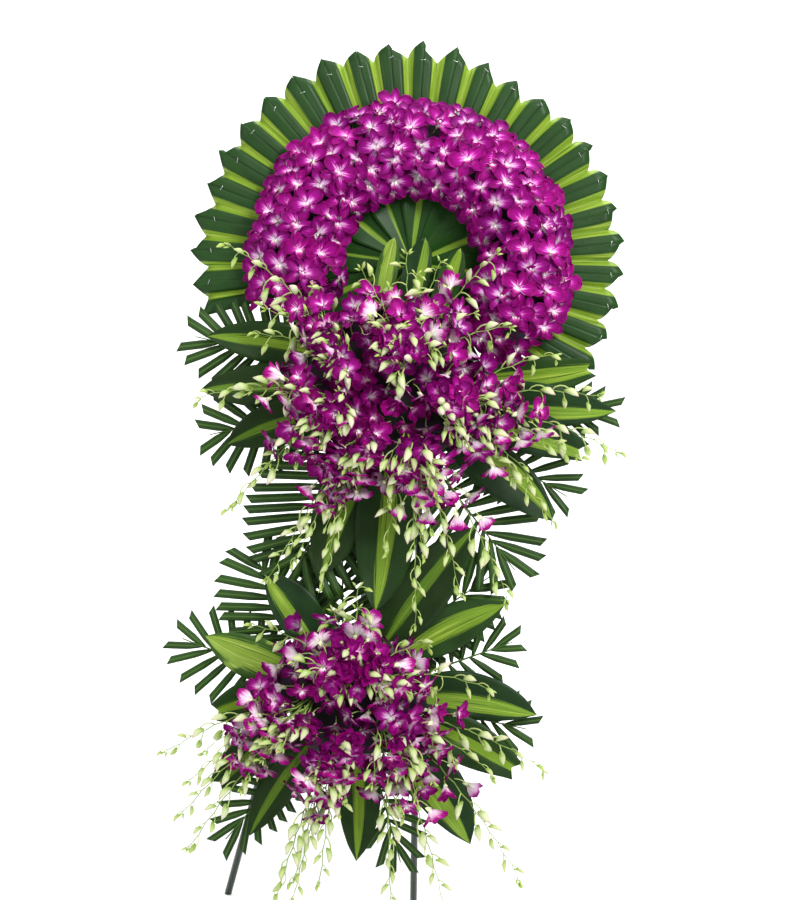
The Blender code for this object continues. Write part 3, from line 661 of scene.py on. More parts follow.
@dataclass(frozen=True)
class OrchidGreen:
    """Dendrobium bud, pedicel and stem: firm, smooth living tissue.

    Buds are cream-green with a flush of pink on the large ones, and have a soft sheen.
    """

    name: str = "orchid bud and stem"
    small: tuple = ((0.0, "7f9c3a"), (0.4, "a2bb58"), (1.0, "b3c66e"))
    large: tuple = ((0.0, "8fa94e"), (0.30, "c2cd9c"), (0.7, "d6d0ba"), (1.0, "bf8f9f"))

    def material(self) -> Material:
        """Build the buds' and stems' material.

        Returns:
            The material.
        """
        mix = Recipe(bpy.data.materials.new(self.name))
        side, along, tone = mix.grain()
        bud = mix.mix(tone, mix.ramp(along, *self.small), mix.ramp(along, *self.large))
        cloud = mix.noise(mix.place(), 60.0)
        colour = mix.tiles(mix.calc("FLOOR", side), bud, (
            (GreenTile.PEDICEL, "a9bc70"), (GreenTile.STEM, mix.mix(cloud, "5c7d2a", "93ad55"))))
        return mix.close(colour, 0.45, (cloud, 0.2, 0.0005),
                         {"Specular IOR Level": 0.3, "Subsurface Weight": 0.10,
                          "Subsurface Scale": 0.003})


@dataclass(frozen=True)
class CloudedFinish:
    """A finish of two mixed tones with a grain that stands up a little."""

    name: str
    first: str
    second: str
    grain_size: float
    roughness: float
    relief: float
    stretch: tuple[float, float, float] = (1.0, 1.0, 1.0)
    metallic: float = 0.0
    coat: float = 0.0

    def material(self) -> Material:
        """Build the material.

        Returns:
            The material.
        """
        mix = Recipe(bpy.data.materials.new(self.name))
        place = mix.add("Mapping", {"Vector": mix.place(), "Scale": self.stretch})
        fine = mix.noise(place, 1 / self.grain_size, 4.0, 0.6)
        wide = mix.noise(place, 0.12 / self.grain_size)
        colour = mix.mix(mix.between(mix.calc("ADD", fine, wide), 0.75, 1.25), self.first,
                         self.second)
        rough = mix.between(fine, 0, 1, self.roughness - 0.12, self.roughness + 0.12)
        return mix.close(colour, rough, (fine, 0.5, self.relief),
                         {"Metallic": self.metallic, "Coat Weight": self.coat})


# Enamelled steel tube: sprayed paint with slight orange peel and a soft gloss
EASEL_PAINT = CloudedFinish("painted steel tube", "1d2a1f", "26352a", 0.004, 0.38, 0.00008,
                            coat=0.3)
# Peeled plywood: long pale fibres, sawn and left bare
PLYWOOD = CloudedFinish("bare plywood", "a57d4e", "c9a673", 0.006, 0.72, 0.0003,
                        (1.0, 1.0, 0.08))
# Soaked floral foam: a crumbly green phenolic foam with open pores, matt
WET_FOAM = CloudedFinish("wet floral foam", "1f4a2b", "386b3f", 0.003, 0.92, 0.0012)
# Packed stalks and greenery under the blooms, matt and uneven; its dark, near-black colour is
# painted shade for the gaps between the blooms
STALK_BED_AND_PAINTED_SHADE = CloudedFinish("stalks under the blooms", "10180c", "2c1230", 0.009, 0.85, 0.002)
# Galvanised staple wire: drawn, bright and slightly dull with zinc
STAPLE_WIRE = CloudedFinish("galvanised staple wire", "a8adac", "d5d8d6", 0.002, 0.35, 0.00003,
                            metallic=0.9)
# Studio paper: pressed smooth from white pulp, with hardly any grain
PAPER = CloudedFinish("matt white studio paper", "f4f5f4", "fafafa", 0.02, 0.9, 0.00001)


# Easel, board and foam


@dataclass
class Easel:
    """The tripod of steel tube that carries the wreath."""

    plane: EaselPlane
    radius: float = 0.007
    leg_y: float = 0.0416
    foot_x: float = 0.19
    top_height: float = 1.45
    rear_foot_y: float = 0.70
    rear_top: float = 1.40
    pressed: float = 2.4
    gap: float = 0.0003
    crossbars: tuple = (("upper_crossbar", 1.042, 0.050), ("lower_crossbar", 0.456, 0.025))
    finish: Material = field(default_factory=EASEL_PAINT.material)

    def spread(self, height: float) -> float:
        """How far a front leg is from the middle at a height."""
        top = self.radius + self.gap / 2
        return self.foot_x + (top - self.foot_x) * height / self.top_height

    def bar(self, start: Vector, end: Vector, wide: float = 1.0) -> BMesh:
        """A tube between two points.

        Args:
            start: Its lower end.
            end: Its upper end.
            wide: How much wider its upper end is pressed.

        Returns:
            The tube.
        """
        run = end - start
        bm = rod(self.radius, run.length, 24, 0.0009)
        for vert in bm.verts:
            if vert.co.z > 0:
                vert.co.x *= wide
        axis = run.normalized()
        side = axis.cross(Vector((0, 1, 0))).normalized()
        turn = axes(side, side.cross(-axis), axis)
        return move(bm, Matrix.Translation((start + end) / 2) @ turn)

    def leg(self, name: str, bm: BMesh) -> None:
        """Cut a leg off at the floor and build it."""
        cut(bm, Vector((0, 0, 0)), -UPWARD)
        self.plane.piece(bm, name + "_tube", [self.finish], "easel", [name], upright=True)

    def build(self) -> None:
        """Build the three legs and the two crossbars."""
        place = self.plane.matrix
        for name, sign in (("left_leg", -1), ("right_leg", 1)):
            foot = place @ Vector((sign * self.spread(0), self.leg_y, 0))
            top = place @ Vector((sign * self.spread(self.top_height), self.leg_y,
                                  self.top_height))
            self.leg(name, self.bar(foot - (top - foot) * 0.03, top))
        head = place @ Vector((0, self.leg_y + self.radius + self.gap, self.rear_top))
        foot = Vector((place.translation.x, place.translation.y + self.rear_foot_y, 0))
        past = (head - foot) * 0.02
        bm = self.bar(foot - past, head + past, self.pressed)
        cut(bm, head, place.to_3x3() @ FORWARD)
        self.leg("rear_leg", bm)
        y = self.leg_y - 2 * self.radius - self.gap
        for name, height, overhang in self.crossbars:
            reach = self.spread(height) + overhang
            bm = self.bar(Vector((-reach, y, height)), Vector((reach, y, height)))
            self.plane.piece(bm, name + "_tube", [self.finish], "easel", [name])


@dataclass
class BoardAndFoam:
    """The plywood board and the wet foam that holds the stalks."""

    plane: EaselPlane
    board_radius: float = 0.20
    board_y: tuple[float, float] = (0.0283, 0.0343)
    ring_radius: float = 0.227
    ring_arc: float = math.radians(113.0)
    ring_half: float = 0.030
    ring_y: tuple[float, float] = (-0.015, 0.0169)
    brick_y: tuple[float, float] = (-0.070, 0.020)
    bricks: tuple = (("upper_foam", 1.042, 0.090, 0.070), ("lower_foam", 0.456, 0.080, 0.060))

    def build(self) -> None:
        """Build the board, the ring's foam and the two bricks."""
        bm = rod(self.board_radius, self.board_y[1] - self.board_y[0], 96, 0.0006)
        where = Matrix.Translation(self.plane.on_ring(0, 0, sum(self.board_y) / 2))
        move(bm, where @ Matrix.Rotation(math.pi / 2, 4, "X"))
        self.plane.piece(bm, "backing_board_disc", [PLYWOOD.material()], "board",
                         ["backing_board"])
        finish = WET_FOAM.material()
        bm = bmesh.new()
        bmesh.ops.create_grid(bm, x_segments=4, y_segments=3, size=0.5)
        size = Matrix.Diagonal((2 * self.ring_half, self.ring_y[1] - self.ring_y[0], 1, 1))
        out = Matrix.Translation(self.plane.on_ring(0, self.ring_radius, sum(self.ring_y) / 2))
        stand = Matrix(((0, 0, 1, 0), (0, 1, 0, 0), (1, 0, 0, 0), (0, 0, 0, 1)))
        move(bm, out @ stand @ size)
        self.plane.spin(bm, -self.ring_arc, 2 * self.ring_arc, 48)
        self.plane.piece(bm, "ring_foam_block", [finish], "foam", ["ring_foam"])
        depth = self.brick_y[1] - self.brick_y[0]
        for name, height, half_x, half_z in self.bricks:
            where = Matrix.Translation((0, sum(self.brick_y) / 2, height))
            bm = block(where @ Matrix.Diagonal((2 * half_x, depth, 2 * half_z, 1)), 0.003)
            self.plane.piece(bm, name + "_brick", [finish], "foam", [name])


# Collar, rosette and leaves


@dataclass
class LeafCollar:
    """The pleated collar: leaves folded at their lime band and stapled to each other."""

    plane: EaselPlane
    leaves: int = 26
    top_leaf: int = 12
    first_round: int = 16
    pitch: float = math.radians(9.0)
    inner: float = 0.195
    notch: float = 0.405
    peak: float = 0.436
    back: float = 0.0276
    pleat: float = 0.017
    lap: float = 0.10
    lap_shorter: float = 0.010
    lap_under: float = 0.0016
    fold_end: float = 0.45
    sway: float = 0.0012
    groups: tuple = (("fan_left_low", 0, 6, 0.120), ("fan_left_high", 6, 12, 0.130),
                     ("fan_right_high", 12, 18, 0.155), ("fan_right_low", 18, 26, 0.165))
    staple_reach: float = 0.408
    staple: tuple[float, float, float, float] = (0.0105, 0.0007, 0.0009, 1)
    fuller: float = 0.011
    fullest: float = math.radians(-50.0)
    trimmed: float = 0.018
    shortest: float = math.radians(24.0)
    trimmed_half: float = 0.2
    dice: random.Random = field(default_factory=lambda: random.Random(5))

    def leaf(self, number: int) -> BMesh:
        """One folded leaf of the collar.

        Args:
            number: Its place, from the left.

        Returns:
            The blade.
        """
        dice = self.dice
        middle = (number - self.top_leaf) * self.pitch
        left, right = dice.uniform(-0.014, 0.000), dice.uniform(-0.007, 0.003)
        notch = self.notch + dice.uniform(-0.006, 0.005)
        ends = ((0.55, 0.8), (0.38, 0.6)) if number >= self.first_round else (
            (0.9, 1.6), (0.55, 1.1))
        rounds = [dice.uniform(*end) for end in ends]
        skew = dice.uniform(-0.012, 0.012)
        full = self.fuller * math.cos(middle - self.fullest)
        full -= self.trimmed * math.exp(-((middle - self.shortest) / self.trimmed_half) ** 2)
        first, last = number == 0, number == self.leaves - 1

        def place(across: float, share: float) -> Vector:
            """Point of the folded leaf.

            Args:
                across: -1 at the left edge and 1 at the right edge.
                share: 0 at the inner end and 1 at the outer end.

            Returns:
                The point.
            """
            over = 1.0 if (last and across > 0) or (first and across < 0) else 1.0 + self.lap
            side = across * over if across > 0 else across
            crest = min(1.0, abs(side))
            peak = self.peak + (left if side < 0 else right)
            lapped = max(0.0, abs(side) - 1.0) / self.lap
            outer = notch + (peak - notch) * crest ** rounds[side > 0]
            outer -= self.lap_shorter * lapped
            reach = self.inner + (outer + full - self.inner) * share
            fold = 0.93 * eased(min(1.0, crest / self.fold_end)) + 0.07 * crest
            lift = self.pleat * reach / self.peak * fold - self.lap_under * lapped
            sway = self.sway * math.sin(7 * share + number) * crest
            turn = middle + side * self.pitch / 2 + skew * (1 - crest) * share
            return self.plane.on_ring(turn, reach, self.back - lift + sway)

        return grid(14, 12, place)

    def crown(self, number: int) -> BMesh:
        """The crown of a wire staple across the lap beside a leaf.

        Args:
            number: The leaf on its left.

        Returns:
            The crown.
        """
        angle = (number - self.top_leaf + 0.5) * self.pitch
        reach = self.staple_reach + self.dice.uniform(-0.006, 0.006)
        spot = self.plane.on_ring(angle, reach,
                                  self.back - self.pleat * reach / self.peak - 0.0013)
        turn = Matrix.Rotation(angle + self.dice.uniform(-0.5, 0.5), 4, "Y")
        return block(Matrix.Translation(spot) @ turn @ Matrix.Diagonal(self.staple), 0.0002, 1)

    def build(self) -> None:
        """Build the four stapled groups and the staples."""
        staples = Heap()
        for name, start, stop, band_half in self.groups:
            heap = Heap()
            finish = StripedLeaf(name.replace("_", " ") + " leaf", "264a1c", "142e0e", "7a982c",
                                 "a8bd54", band_half, 0.07, 0.026, 0.062, relief=0.15).material()
            for number in range(start, stop):
                heap.pour(self.leaf(number), self.dice.random())
                if number < self.leaves - 1:
                    staples.pour(self.crown(number))
            self.plane.piece(heap.bm, name + "_leaves", [finish], "collar_leaf", [name], 0.0006)
        self.plane.piece(staples.bm, "collar_staples", [STAPLE_WIRE.material()], "collar_leaf",
                         [])


@dataclass
class Rosette:
    """Twelve leaves that meet in the ring's hole, each lapped over the next."""

    plane: EaselPlane
    reach: float = 0.190
    wrap: float = 0.232
    shoulder: float = 0.115
    inner: float = 0.010
    half_turn: float = math.radians(17.5)
    back: float = 0.0270
    lift: float = 0.0040
    lap_right: float = 0.0015
    lap_left: float = 0.0075
    groove: float = 0.0035
    stripes: tuple[float, ...] = (0.80, 0.12, 0.78, 0.60, 0.15, 0.45, 0.30, 0.50, 0.66, 0.55,
                                  0.72, 0.52)

    def leaf(self, number: int) -> BMesh:
        """One leaf, from its outer end to its tip at the middle.

        Args:
            number: Its place, clockwise from the top.

        Returns:
            The blade.
        """
        turn = 2 * math.pi * number / len(self.stripes)
        outer, narrow = (self.wrap, 0.2) if math.cos(turn) < -0.4 else (self.reach, 0.92)

        def place(across: float, share: float) -> Vector:
            """Point of the lapped leaf.

            Args:
                across: -1 at the left edge and 1 at the right edge.
                share: 0 at the outer end and 1 at the middle.

            Returns:
                The point.
            """
            reach = outer + (self.inner - outer) * share
            past = max(0.0, (reach - self.shoulder) / (outer - self.shoulder))
            half = self.half_turn * (1 - narrow * past ** 1.6)
            rise = (1 - past) * min(1.0, reach / self.shoulder)
            lift = self.lift + (self.lap_right if across > 0 else self.lap_left) * abs(across)
            groove = self.groove * (1 - abs(across)) ** 1.5
            return self.plane.on_ring(turn + across * half, reach,
                                      self.back - (lift - groove) * rise)

        return grid(10, 14, place)

    def build(self) -> None:
        """Build the rosette."""
        finish = StripedLeaf("rosette leaf", "1f4c0c", "0c2c05", "6f9022", "9fb548", 0.05, 0.26,
                             0.03, 0.05, narrowing=0.7).material()
        heap = Heap()
        for number, tone in enumerate(self.stripes):
            heap.pour(self.leaf(number), tone)
        self.plane.piece(heap.bm, "rosette_blades", [finish], "collar_leaf", ["rosette_leaves"],
                         0.0007)


@dataclass(frozen=True)
class Bunch:
    """One of the two bunches: its middle, foam and flower mass."""

    name: str
    height: float
    foam_half: tuple[float, float]
    half_width: float
    drop: float
    rise: float
    pinch: float
    blooms: int
    seed: int
    foremost: float

    def outline(self, angle: float, q: float) -> tuple[float, float]:
        """Point of the flower mass.

        Args:
            angle: Its angle from the right.
            q: Its share of the mass's reach.

        Returns:
            The point across and up.
        """
        across = self.half_width * math.cos(angle)
        up = math.sin(angle)
        if up > 0:
            across *= 1 - self.pinch * up
        return q * across, self.height + q * up * (self.rise if up > 0 else self.drop)

    def share(self, x: float, z: float) -> float:
        """How far out a point lies, as a share of the mass's reach."""
        up = z - self.height
        return math.hypot(x / self.half_width, up / (self.rise if up > 0 else self.drop))

    def surface(self, layer: float) -> DEPTH:
        """The forward arch that the bunch's foliage follows, moved to a layer."""
        return lambda x, z: layer - 0.15 * (x * x + (z - self.height) ** 2)

    def leaf_root(self, tip: tuple[float, float], half_width: float,
                  aim: float) -> tuple[float, float]:
        """Where a leaf that points at a tip leaves the foam.

        Args:
            tip: The tip on the easel's plane.
            half_width: Half the width of the leaf's root.
            aim: How far above the foam's middle the leaf points back to.

        Returns:
            The root, just outside the foam's side.
        """
        run = Vector((tip[0], tip[1] - self.height - aim)).normalized()
        side = Vector((-run.y, run.x)) * half_width
        far = 0.0
        while any(abs(spot.x) < self.foam_half[0] and abs(spot.y + aim) < self.foam_half[1]
                  for spot in (run * far + side * k for k in (-1, -0.5, 0, 0.5, 1))):
            far += 0.001
        return run.x * far, self.height + aim + run.y * far


UPPER = Bunch("upper", 1.042, (0.090, 0.070), 0.220, 0.170, 0.200, 0.25, 84, 21, -0.236)
LOWER = Bunch("lower", 0.456, (0.080, 0.060), 0.170, 0.185, 0.130, 0.10, 62, 22, -0.206)


class LeafEnd(Enum):
    """Outline of a blade: its spread at shares of its length."""

    POINTED = ((0.0, 0.16), (0.18, 0.62), (0.42, 1.0), (0.68, 0.90), (0.88, 0.50), (1.0, 0.0))
    CUT = ((0.0, 0.16), (0.18, 0.66), (0.42, 1.0), (0.70, 0.96), (1.0, 0.42))
    UPRIGHT = ((0.0, 0.78), (0.40, 0.92), (0.70, 1.0), (0.84, 0.88), (0.95, 0.50), (1.0, 0.0))

    def spread(self, share: float) -> float:
        """Spread of a blade, on a smooth curve through the stations.

        Args:
            share: 0 at the root and 1 at the tip.

        Returns:
            The spread, as a share of half the blade's width.
        """
        table = self.value
        at = max(i for i, station in enumerate(table[:-1]) if station[0] <= share)
        (s0, w0), (s1, w1) = table[at], table[at + 1]
        before = table[at - 1] if at else (2 * s0 - s1, w0 - 0.5 * (w1 - w0))
        after = table[at + 2] if at + 2 < len(table) else (2 * s1 - s0, 2 * w1 - w0)
        rise0 = (w1 - before[1]) / (s1 - before[0])
        rise1 = (after[1] - w0) / (after[0] - s0)
        t, run = (share - s0) / (s1 - s0), s1 - s0
        return max(0.0, (1 - eased(t)) * w0 + (t ** 3 - 2 * t * t + t) * run * rise0
                   + eased(t) * w1 + (t ** 3 - t * t) * run * rise1)


class Marking(Enum):
    """How a broad leaf is striped: band middle, half width and streaks, then its colours."""

    MIDDLE = (0.50, 0.12, 0.06, "22430f", "102607", "6d8e22", "9ab041", 0.0)
    BROAD = (0.50, 0.22, 0.07, "274914", "132a0a", "6f9024", "9ab042", 0.0)
    NEAR_SIDE = (0.34, 0.17, 0.05, "20401a", "0e220c", "72942a", "9cb345", 0.0)
    FAR_SIDE = (0.66, 0.16, 0.05, "20401a", "0e220c", "72942a", "9cb345", 0.0)
    OLIVE = (0.52, 0.11, 0.06, "203c0c", "0f2105", "54761c", "78922c", 0.0)
    PALE = (0.50, 0.30, 0.10, "3d6020", "254112", "7c9a34", "a8bb5a", 1.0)

    def finish(self, name: str, width: float) -> StripedLeaf:
        """The finish of a leaf by its name and the blade's width."""
        middle, half, streaks, dark, darker, lime, pale, mottle = self.value
        return StripedLeaf(name + " blade", dark, darker, lime, pale, half, 0.03, streaks, width,
                           middle, mottle)


POINTED, CUT, UPRIGHT = LeafEnd
MIDDLE, BROAD, NEAR_SIDE, FAR_SIDE, OLIVE, PALE = Marking


@dataclass(frozen=True)
class Blade:
    """One leaf blade on the easel's plane."""

    root: tuple[float, float]
    tip: tuple[float, float]
    width: float
    bow: float
    end: LeafEnd
    depth: DEPTH
    phase: float
    fold: float = 0.006
    ripple: float = 0.0022
    ripples: float = 19.0
    swallowtail: float = 0.05

    def point(self, across: float, share: float) -> Vector:
        """Point of the blade.

        Args:
            across: -1 at the left edge and 1 at the right edge.
            share: 0 at the root and 1 at the tip.

        Returns:
            The point on the easel's plane.
        """
        run = Vector((self.tip[0] - self.root[0], 0, self.tip[1] - self.root[1]))
        side = Vector((-run.z, 0, run.x)).normalized()
        if self.end is CUT:
            share -= self.swallowtail * (1 - abs(across)) * share ** 8
        middle = Vector((self.root[0], 0, self.root[1])) + run * share
        middle += side * self.bow * 4 * share * (1 - share)
        lean = run.normalized() + side * self.bow * 4 * (1 - 2 * share) / run.length
        square = Vector((-lean.z, 0, lean.x)).normalized()
        spread = self.end.spread(share)
        spot = middle + square * across * spread * self.width / 2
        wave = math.sin(self.ripples * share + self.phase + 1.3 * across) * across * across
        groove = self.fold * spread * (1 - abs(across)) ** 1.3
        spot.y = self.depth(spot.x, spot.z) + groove + self.ripple * wave * spread
        return spot


@dataclass
class BroadLeaves:
    """The broad striped leaves round both bunches and the upright ones in the hole."""

    plane: EaselPlane
    layers: tuple[float, ...] = (-0.014, -0.025, -0.036, -0.047)
    # tip across and above the wreath's centre, width, layer, bow, aim, end, marking
    upper: tuple = (
        (-0.380, -0.205, 0.086, 0, -0.010, 0.060, POINTED, MIDDLE),
        (-0.378, -0.313, 0.088, 1, -0.010, 0.015, POINTED, OLIVE),
        (-0.311, -0.413, 0.088, 2, -0.015, 0.0, POINTED, OLIVE),
        (0.026, -0.699, 0.122, 3, 0.010, 0.0, POINTED, MIDDLE),
        (0.347, -0.472, 0.095, 3, 0.015, 0.0, POINTED, FAR_SIDE),
        (0.394, -0.330, 0.088, 2, 0.012, 0.0, CUT, NEAR_SIDE),
        (0.443, -0.240, 0.090, 1, 0.0, 0.010, POINTED, NEAR_SIDE),
        (0.390, -0.160, 0.080, 0, -0.010, 0.030, CUT, BROAD),
        (-0.088, -0.645, 0.115, 2, -0.010, 0.0, POINTED, OLIVE))
    lower: tuple = (
        (-0.199, -0.656, 0.088, 2, -0.008, 0.0, POINTED, FAR_SIDE),
        (-0.300, -0.793, 0.085, 1, 0.008, 0.0, POINTED, PALE),
        (-0.262, -0.941, 0.085, 2, -0.010, 0.0, CUT, MIDDLE),
        (-0.236, -1.083, 0.080, 3, -0.015, 0.0, CUT, OLIVE),
        (-0.159, -1.175, 0.075, 0, -0.010, 0.0, POINTED, OLIVE),
        (0.058, -1.193, 0.085, 1, 0.010, 0.0, POINTED, MIDDLE),
        (0.276, -1.126, 0.105, 2, 0.020, 0.0, POINTED, NEAR_SIDE),
        (0.348, -0.970, 0.090, 3, 0.010, 0.0, CUT, MIDDLE),
        (0.373, -0.858, 0.095, 0, 0.020, 0.0, POINTED, NEAR_SIDE),
        (0.279, -0.649, 0.090, 1, 0.010, 0.015, POINTED, BROAD),
        (0.200, -0.503, 0.108, 2, 0.008, 0.0, POINTED, OLIVE))
    # name: root across, tip across, tip above the wreath's centre, width, marking
    upright: tuple = (("left", -0.050, -0.038, 0.039, 0.044, PALE),
                      ("middle", 0.005, 0.022, 0.047, 0.055, NEAR_SIDE),
                      ("right", 0.056, 0.094, 0.036, 0.051, BROAD))
    dice: random.Random = field(default_factory=lambda: random.Random(3))

    def build(self) -> None:
        """Build every broad leaf."""
        for bunch, leaves in ((UPPER, self.upper), (LOWER, self.lower)):
            for number, (x, up, width, layer, bow, aim, end, marking) in enumerate(leaves, 1):
                tip = (x, self.plane.wreath_height + up)
                root = bunch.leaf_root(tip, 0.16 * width / 2, aim)
                self.lay(f"{bunch.name}_leaf_{number}", root, tip, width, bow, end,
                         bunch.surface(self.layers[layer]), marking)
        base = UPPER.height + UPPER.foam_half[1]
        for side, root_x, tip_x, up, width, marking in self.upright:
            self.lay("upright_leaf_" + side, (root_x, base),
                     (tip_x, self.plane.wreath_height + up), width, 0.004, UPRIGHT,
                     lambda x, z: -0.030 - 0.10 * (z - base), marking)

    def lay(self, name: str, root: tuple[float, float], tip: tuple[float, float], width: float,
            bow: float, end: LeafEnd, depth: DEPTH, marking: Marking) -> None:
        """Build one leaf as a piece.

        Args:
            name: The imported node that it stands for.
            root: Its root on the easel's plane.
            tip: Its tip on the easel's plane.
            width: Its width.
            bow: How far it bends aside.
            end: Its outline.
            depth: The surface that it follows.
            marking: How it is striped.
        """
        blade = Blade(root, tip, width, bow, end, depth, self.dice.uniform(0, 6))
        bm = grid(10, 26, blade.point)
        bmesh.ops.remove_doubles(bm, verts=bm.verts, dist=0.00002)
        heap = Heap()
        heap.pour(bm, self.dice.random())
        finish = marking.finish(name.replace("_", " "), width).material()
        self.plane.piece(heap.bm, name + "_blade", [finish], "striped_leaf", [name], 0.0008)


# Palm


@dataclass(frozen=True)
class Frond:
    """One trimmed palm frond: its tip, half width, root beside the foam's middle and layer.

    Its leaflets stand off the rib by an opening that closes by the fan towards the tip.
    """

    tip_x: float
    tip_up: float
    half_width: float
    root: float
    layer: int
    opening: float = 82.0
    fan: float = 64.0
    wide: float = 1.0

    def leaflet(self, station: float, angle: float, length: float) -> float:
        """How far a leaflet reaches from its rib to the frond's oval outline.

        Args:
            station: Where it leaves the rib.
            angle: How far it is turned from the rib.
            length: The rib's length.

        Returns:
            The reach.
        """
        reach = 0.50 * length
        past = (station - 0.56 * length) / reach
        dx, dy = math.cos(angle) / reach, math.sin(angle) / self.half_width
        a, b, c = dx * dx + dy * dy, past * dx, past * past - 1
        return max(0.03, (-b + math.sqrt(max(0.0, b * b - a * c))) / a)


@dataclass
class PalmFronds:
    """Pairs of palm fronds that lie behind the broad leaves."""

    plane: EaselPlane
    layers: tuple[float, ...] = (0.015, 0.009, 0.003)
    leaflet_width: float = 0.0145
    pitch: float = 0.0190
    rib: tuple[float, float] = (0.0030, 0.0009)
    leafed_part: tuple[float, float] = (0.13, 0.80)
    forward: float = 0.03
    stagger: float = 0.003
    slant: float = 0.006
    keel: float = 0.0016
    # name: bunch, side of the foam across and up that the ribs leave, fronds
    pairs: tuple = (
        ("left", UPPER, -1, 0, (Frond(-0.418, -0.207, 0.094, 0.045, 0, 74.0, 52.0, 1.2),
                                Frond(-0.360, -0.402, 0.100, -0.020, 1, 78.0, 56.0, 1.15))),
        ("right", UPPER, 1, 0, (Frond(0.448, -0.240, 0.060, 0.015, 0),
                                Frond(0.385, -0.426, 0.080, -0.020, 1))),
        ("below", UPPER, 0, -1, (Frond(-0.150, -0.670, 0.150, -0.050, 2, 68.0, 30.0, 1.2),
                                 Frond(0.300, -0.590, 0.118, 0.050, 2, 82.0, 64.0, 1.2))),
        ("left", LOWER, -1, 0, (Frond(-0.238, -0.605, 0.116, 0.020, 1, 70.0, 40.0, 1.2),
                                Frond(-0.359, -0.806, 0.095, -0.010, 0))),
        ("above", LOWER, 0, 1, (Frond(0.255, -0.590, 0.098, 0.025, 0, 74.0, 50.0, 1.2),
                                Frond(-0.060, -0.560, 0.100, -0.025, 0, 60.0, 30.0, 1.2))),
        ("right", LOWER, 1, 0, (Frond(0.315, -0.719, 0.075, 0.020, 1),
                                Frond(0.370, -0.893, 0.080, -0.010, 0))),
        ("below", LOWER, 0, -1, (Frond(-0.213, -1.203, 0.065, -0.030, 1),
                                 Frond(0.151, -1.202, 0.070, 0.030, 0))))
    dice: random.Random = field(default_factory=lambda: random.Random(14))

    def frond(self, heap: Heap, frond: Frond, root: Vector, depth: DEPTH) -> None:
        """Add one frond: its rib and its leaflets, each cut off blunt.

        Args:
            heap: Where it goes.
            frond: Its sizes.
            root: Where its rib enters the foam.
            depth: The surface that it follows.
        """
        dice = self.dice
        run = Vector((frond.tip_x, 0, self.plane.wreath_height + frond.tip_up)) - root
        along, length = run.normalized(), run.length
        side = Vector((-along.z, 0, along.x))

        def bend(spot: Vector) -> Vector:
            """Move a point to the surface, and forward beside the rib."""
            lift = self.forward * abs((spot - root).dot(side))
            return Vector((spot.x, depth(spot.x, spot.z) - lift, spot.z))

        steps = [i / 14 for i in range(15)]
        heap.pour(tube([bend(root + run * (0.96 * t)) for t in steps],
                       [self.rib[0] + (self.rib[1] - self.rib[0]) * t for t in steps], 6, 0.0), 1.0)
        start, stop = (part * length for part in self.leafed_part)
        count = max(6, round((stop - start) / self.pitch))
        for k in range(count):
            share = k / (count - 1)
            station = start + (stop - start) * share
            angle = math.radians(frond.opening - frond.fan * share ** 2.8 + dice.uniform(-3, 3))
            out = frond.leaflet(station, angle, length)
            for sign in (-1, 1):
                way = along * math.cos(angle) + side * sign * math.sin(angle)
                square = Vector((-way.z, 0, way.x))
                base = root + along * (station + self.stagger * sign)
                droop = dice.uniform(0.0, 0.004)

                def place(across: float, share: float) -> Vector:
                    """Point of the leaflet.

                    Args:
                        across: -1 at the left edge and 1 at the right edge.
                        share: 0 at the rib and 1 at the cut end.

                    Returns:
                        The point.
                    """
                    width = frond.wide * self.leaflet_width / 2
                    width *= 0.30 + 0.70 * min(1.0, 2.4 * share) ** 0.7
                    reach = out * share + self.slant * sign * across * share ** 6
                    spot = bend(base + way * reach + square * across * width)
                    spot.y += self.keel * abs(across) + droop * share * share
                    return spot

                heap.pour(grid(4, 7, place), dice.random())

    def build(self) -> None:
        """Build the seven pairs."""
        finish = PalmLeaf().material()
        for side, bunch, right, up, fronds in self.pairs:
            heap = Heap()
            for frond in fronds:
                across = right * bunch.foam_half[0] if right else frond.root
                above = up * bunch.foam_half[1] if up else frond.root
                self.frond(heap, frond, Vector((across, 0, bunch.height + above)),
                           bunch.surface(self.layers[frond.layer]))
            name = f"{bunch.name}_palms_{side}"
            self.plane.piece(heap.bm, name + "_fronds", [finish], "palm_leaf", [name], 0.0006)


# Orchids


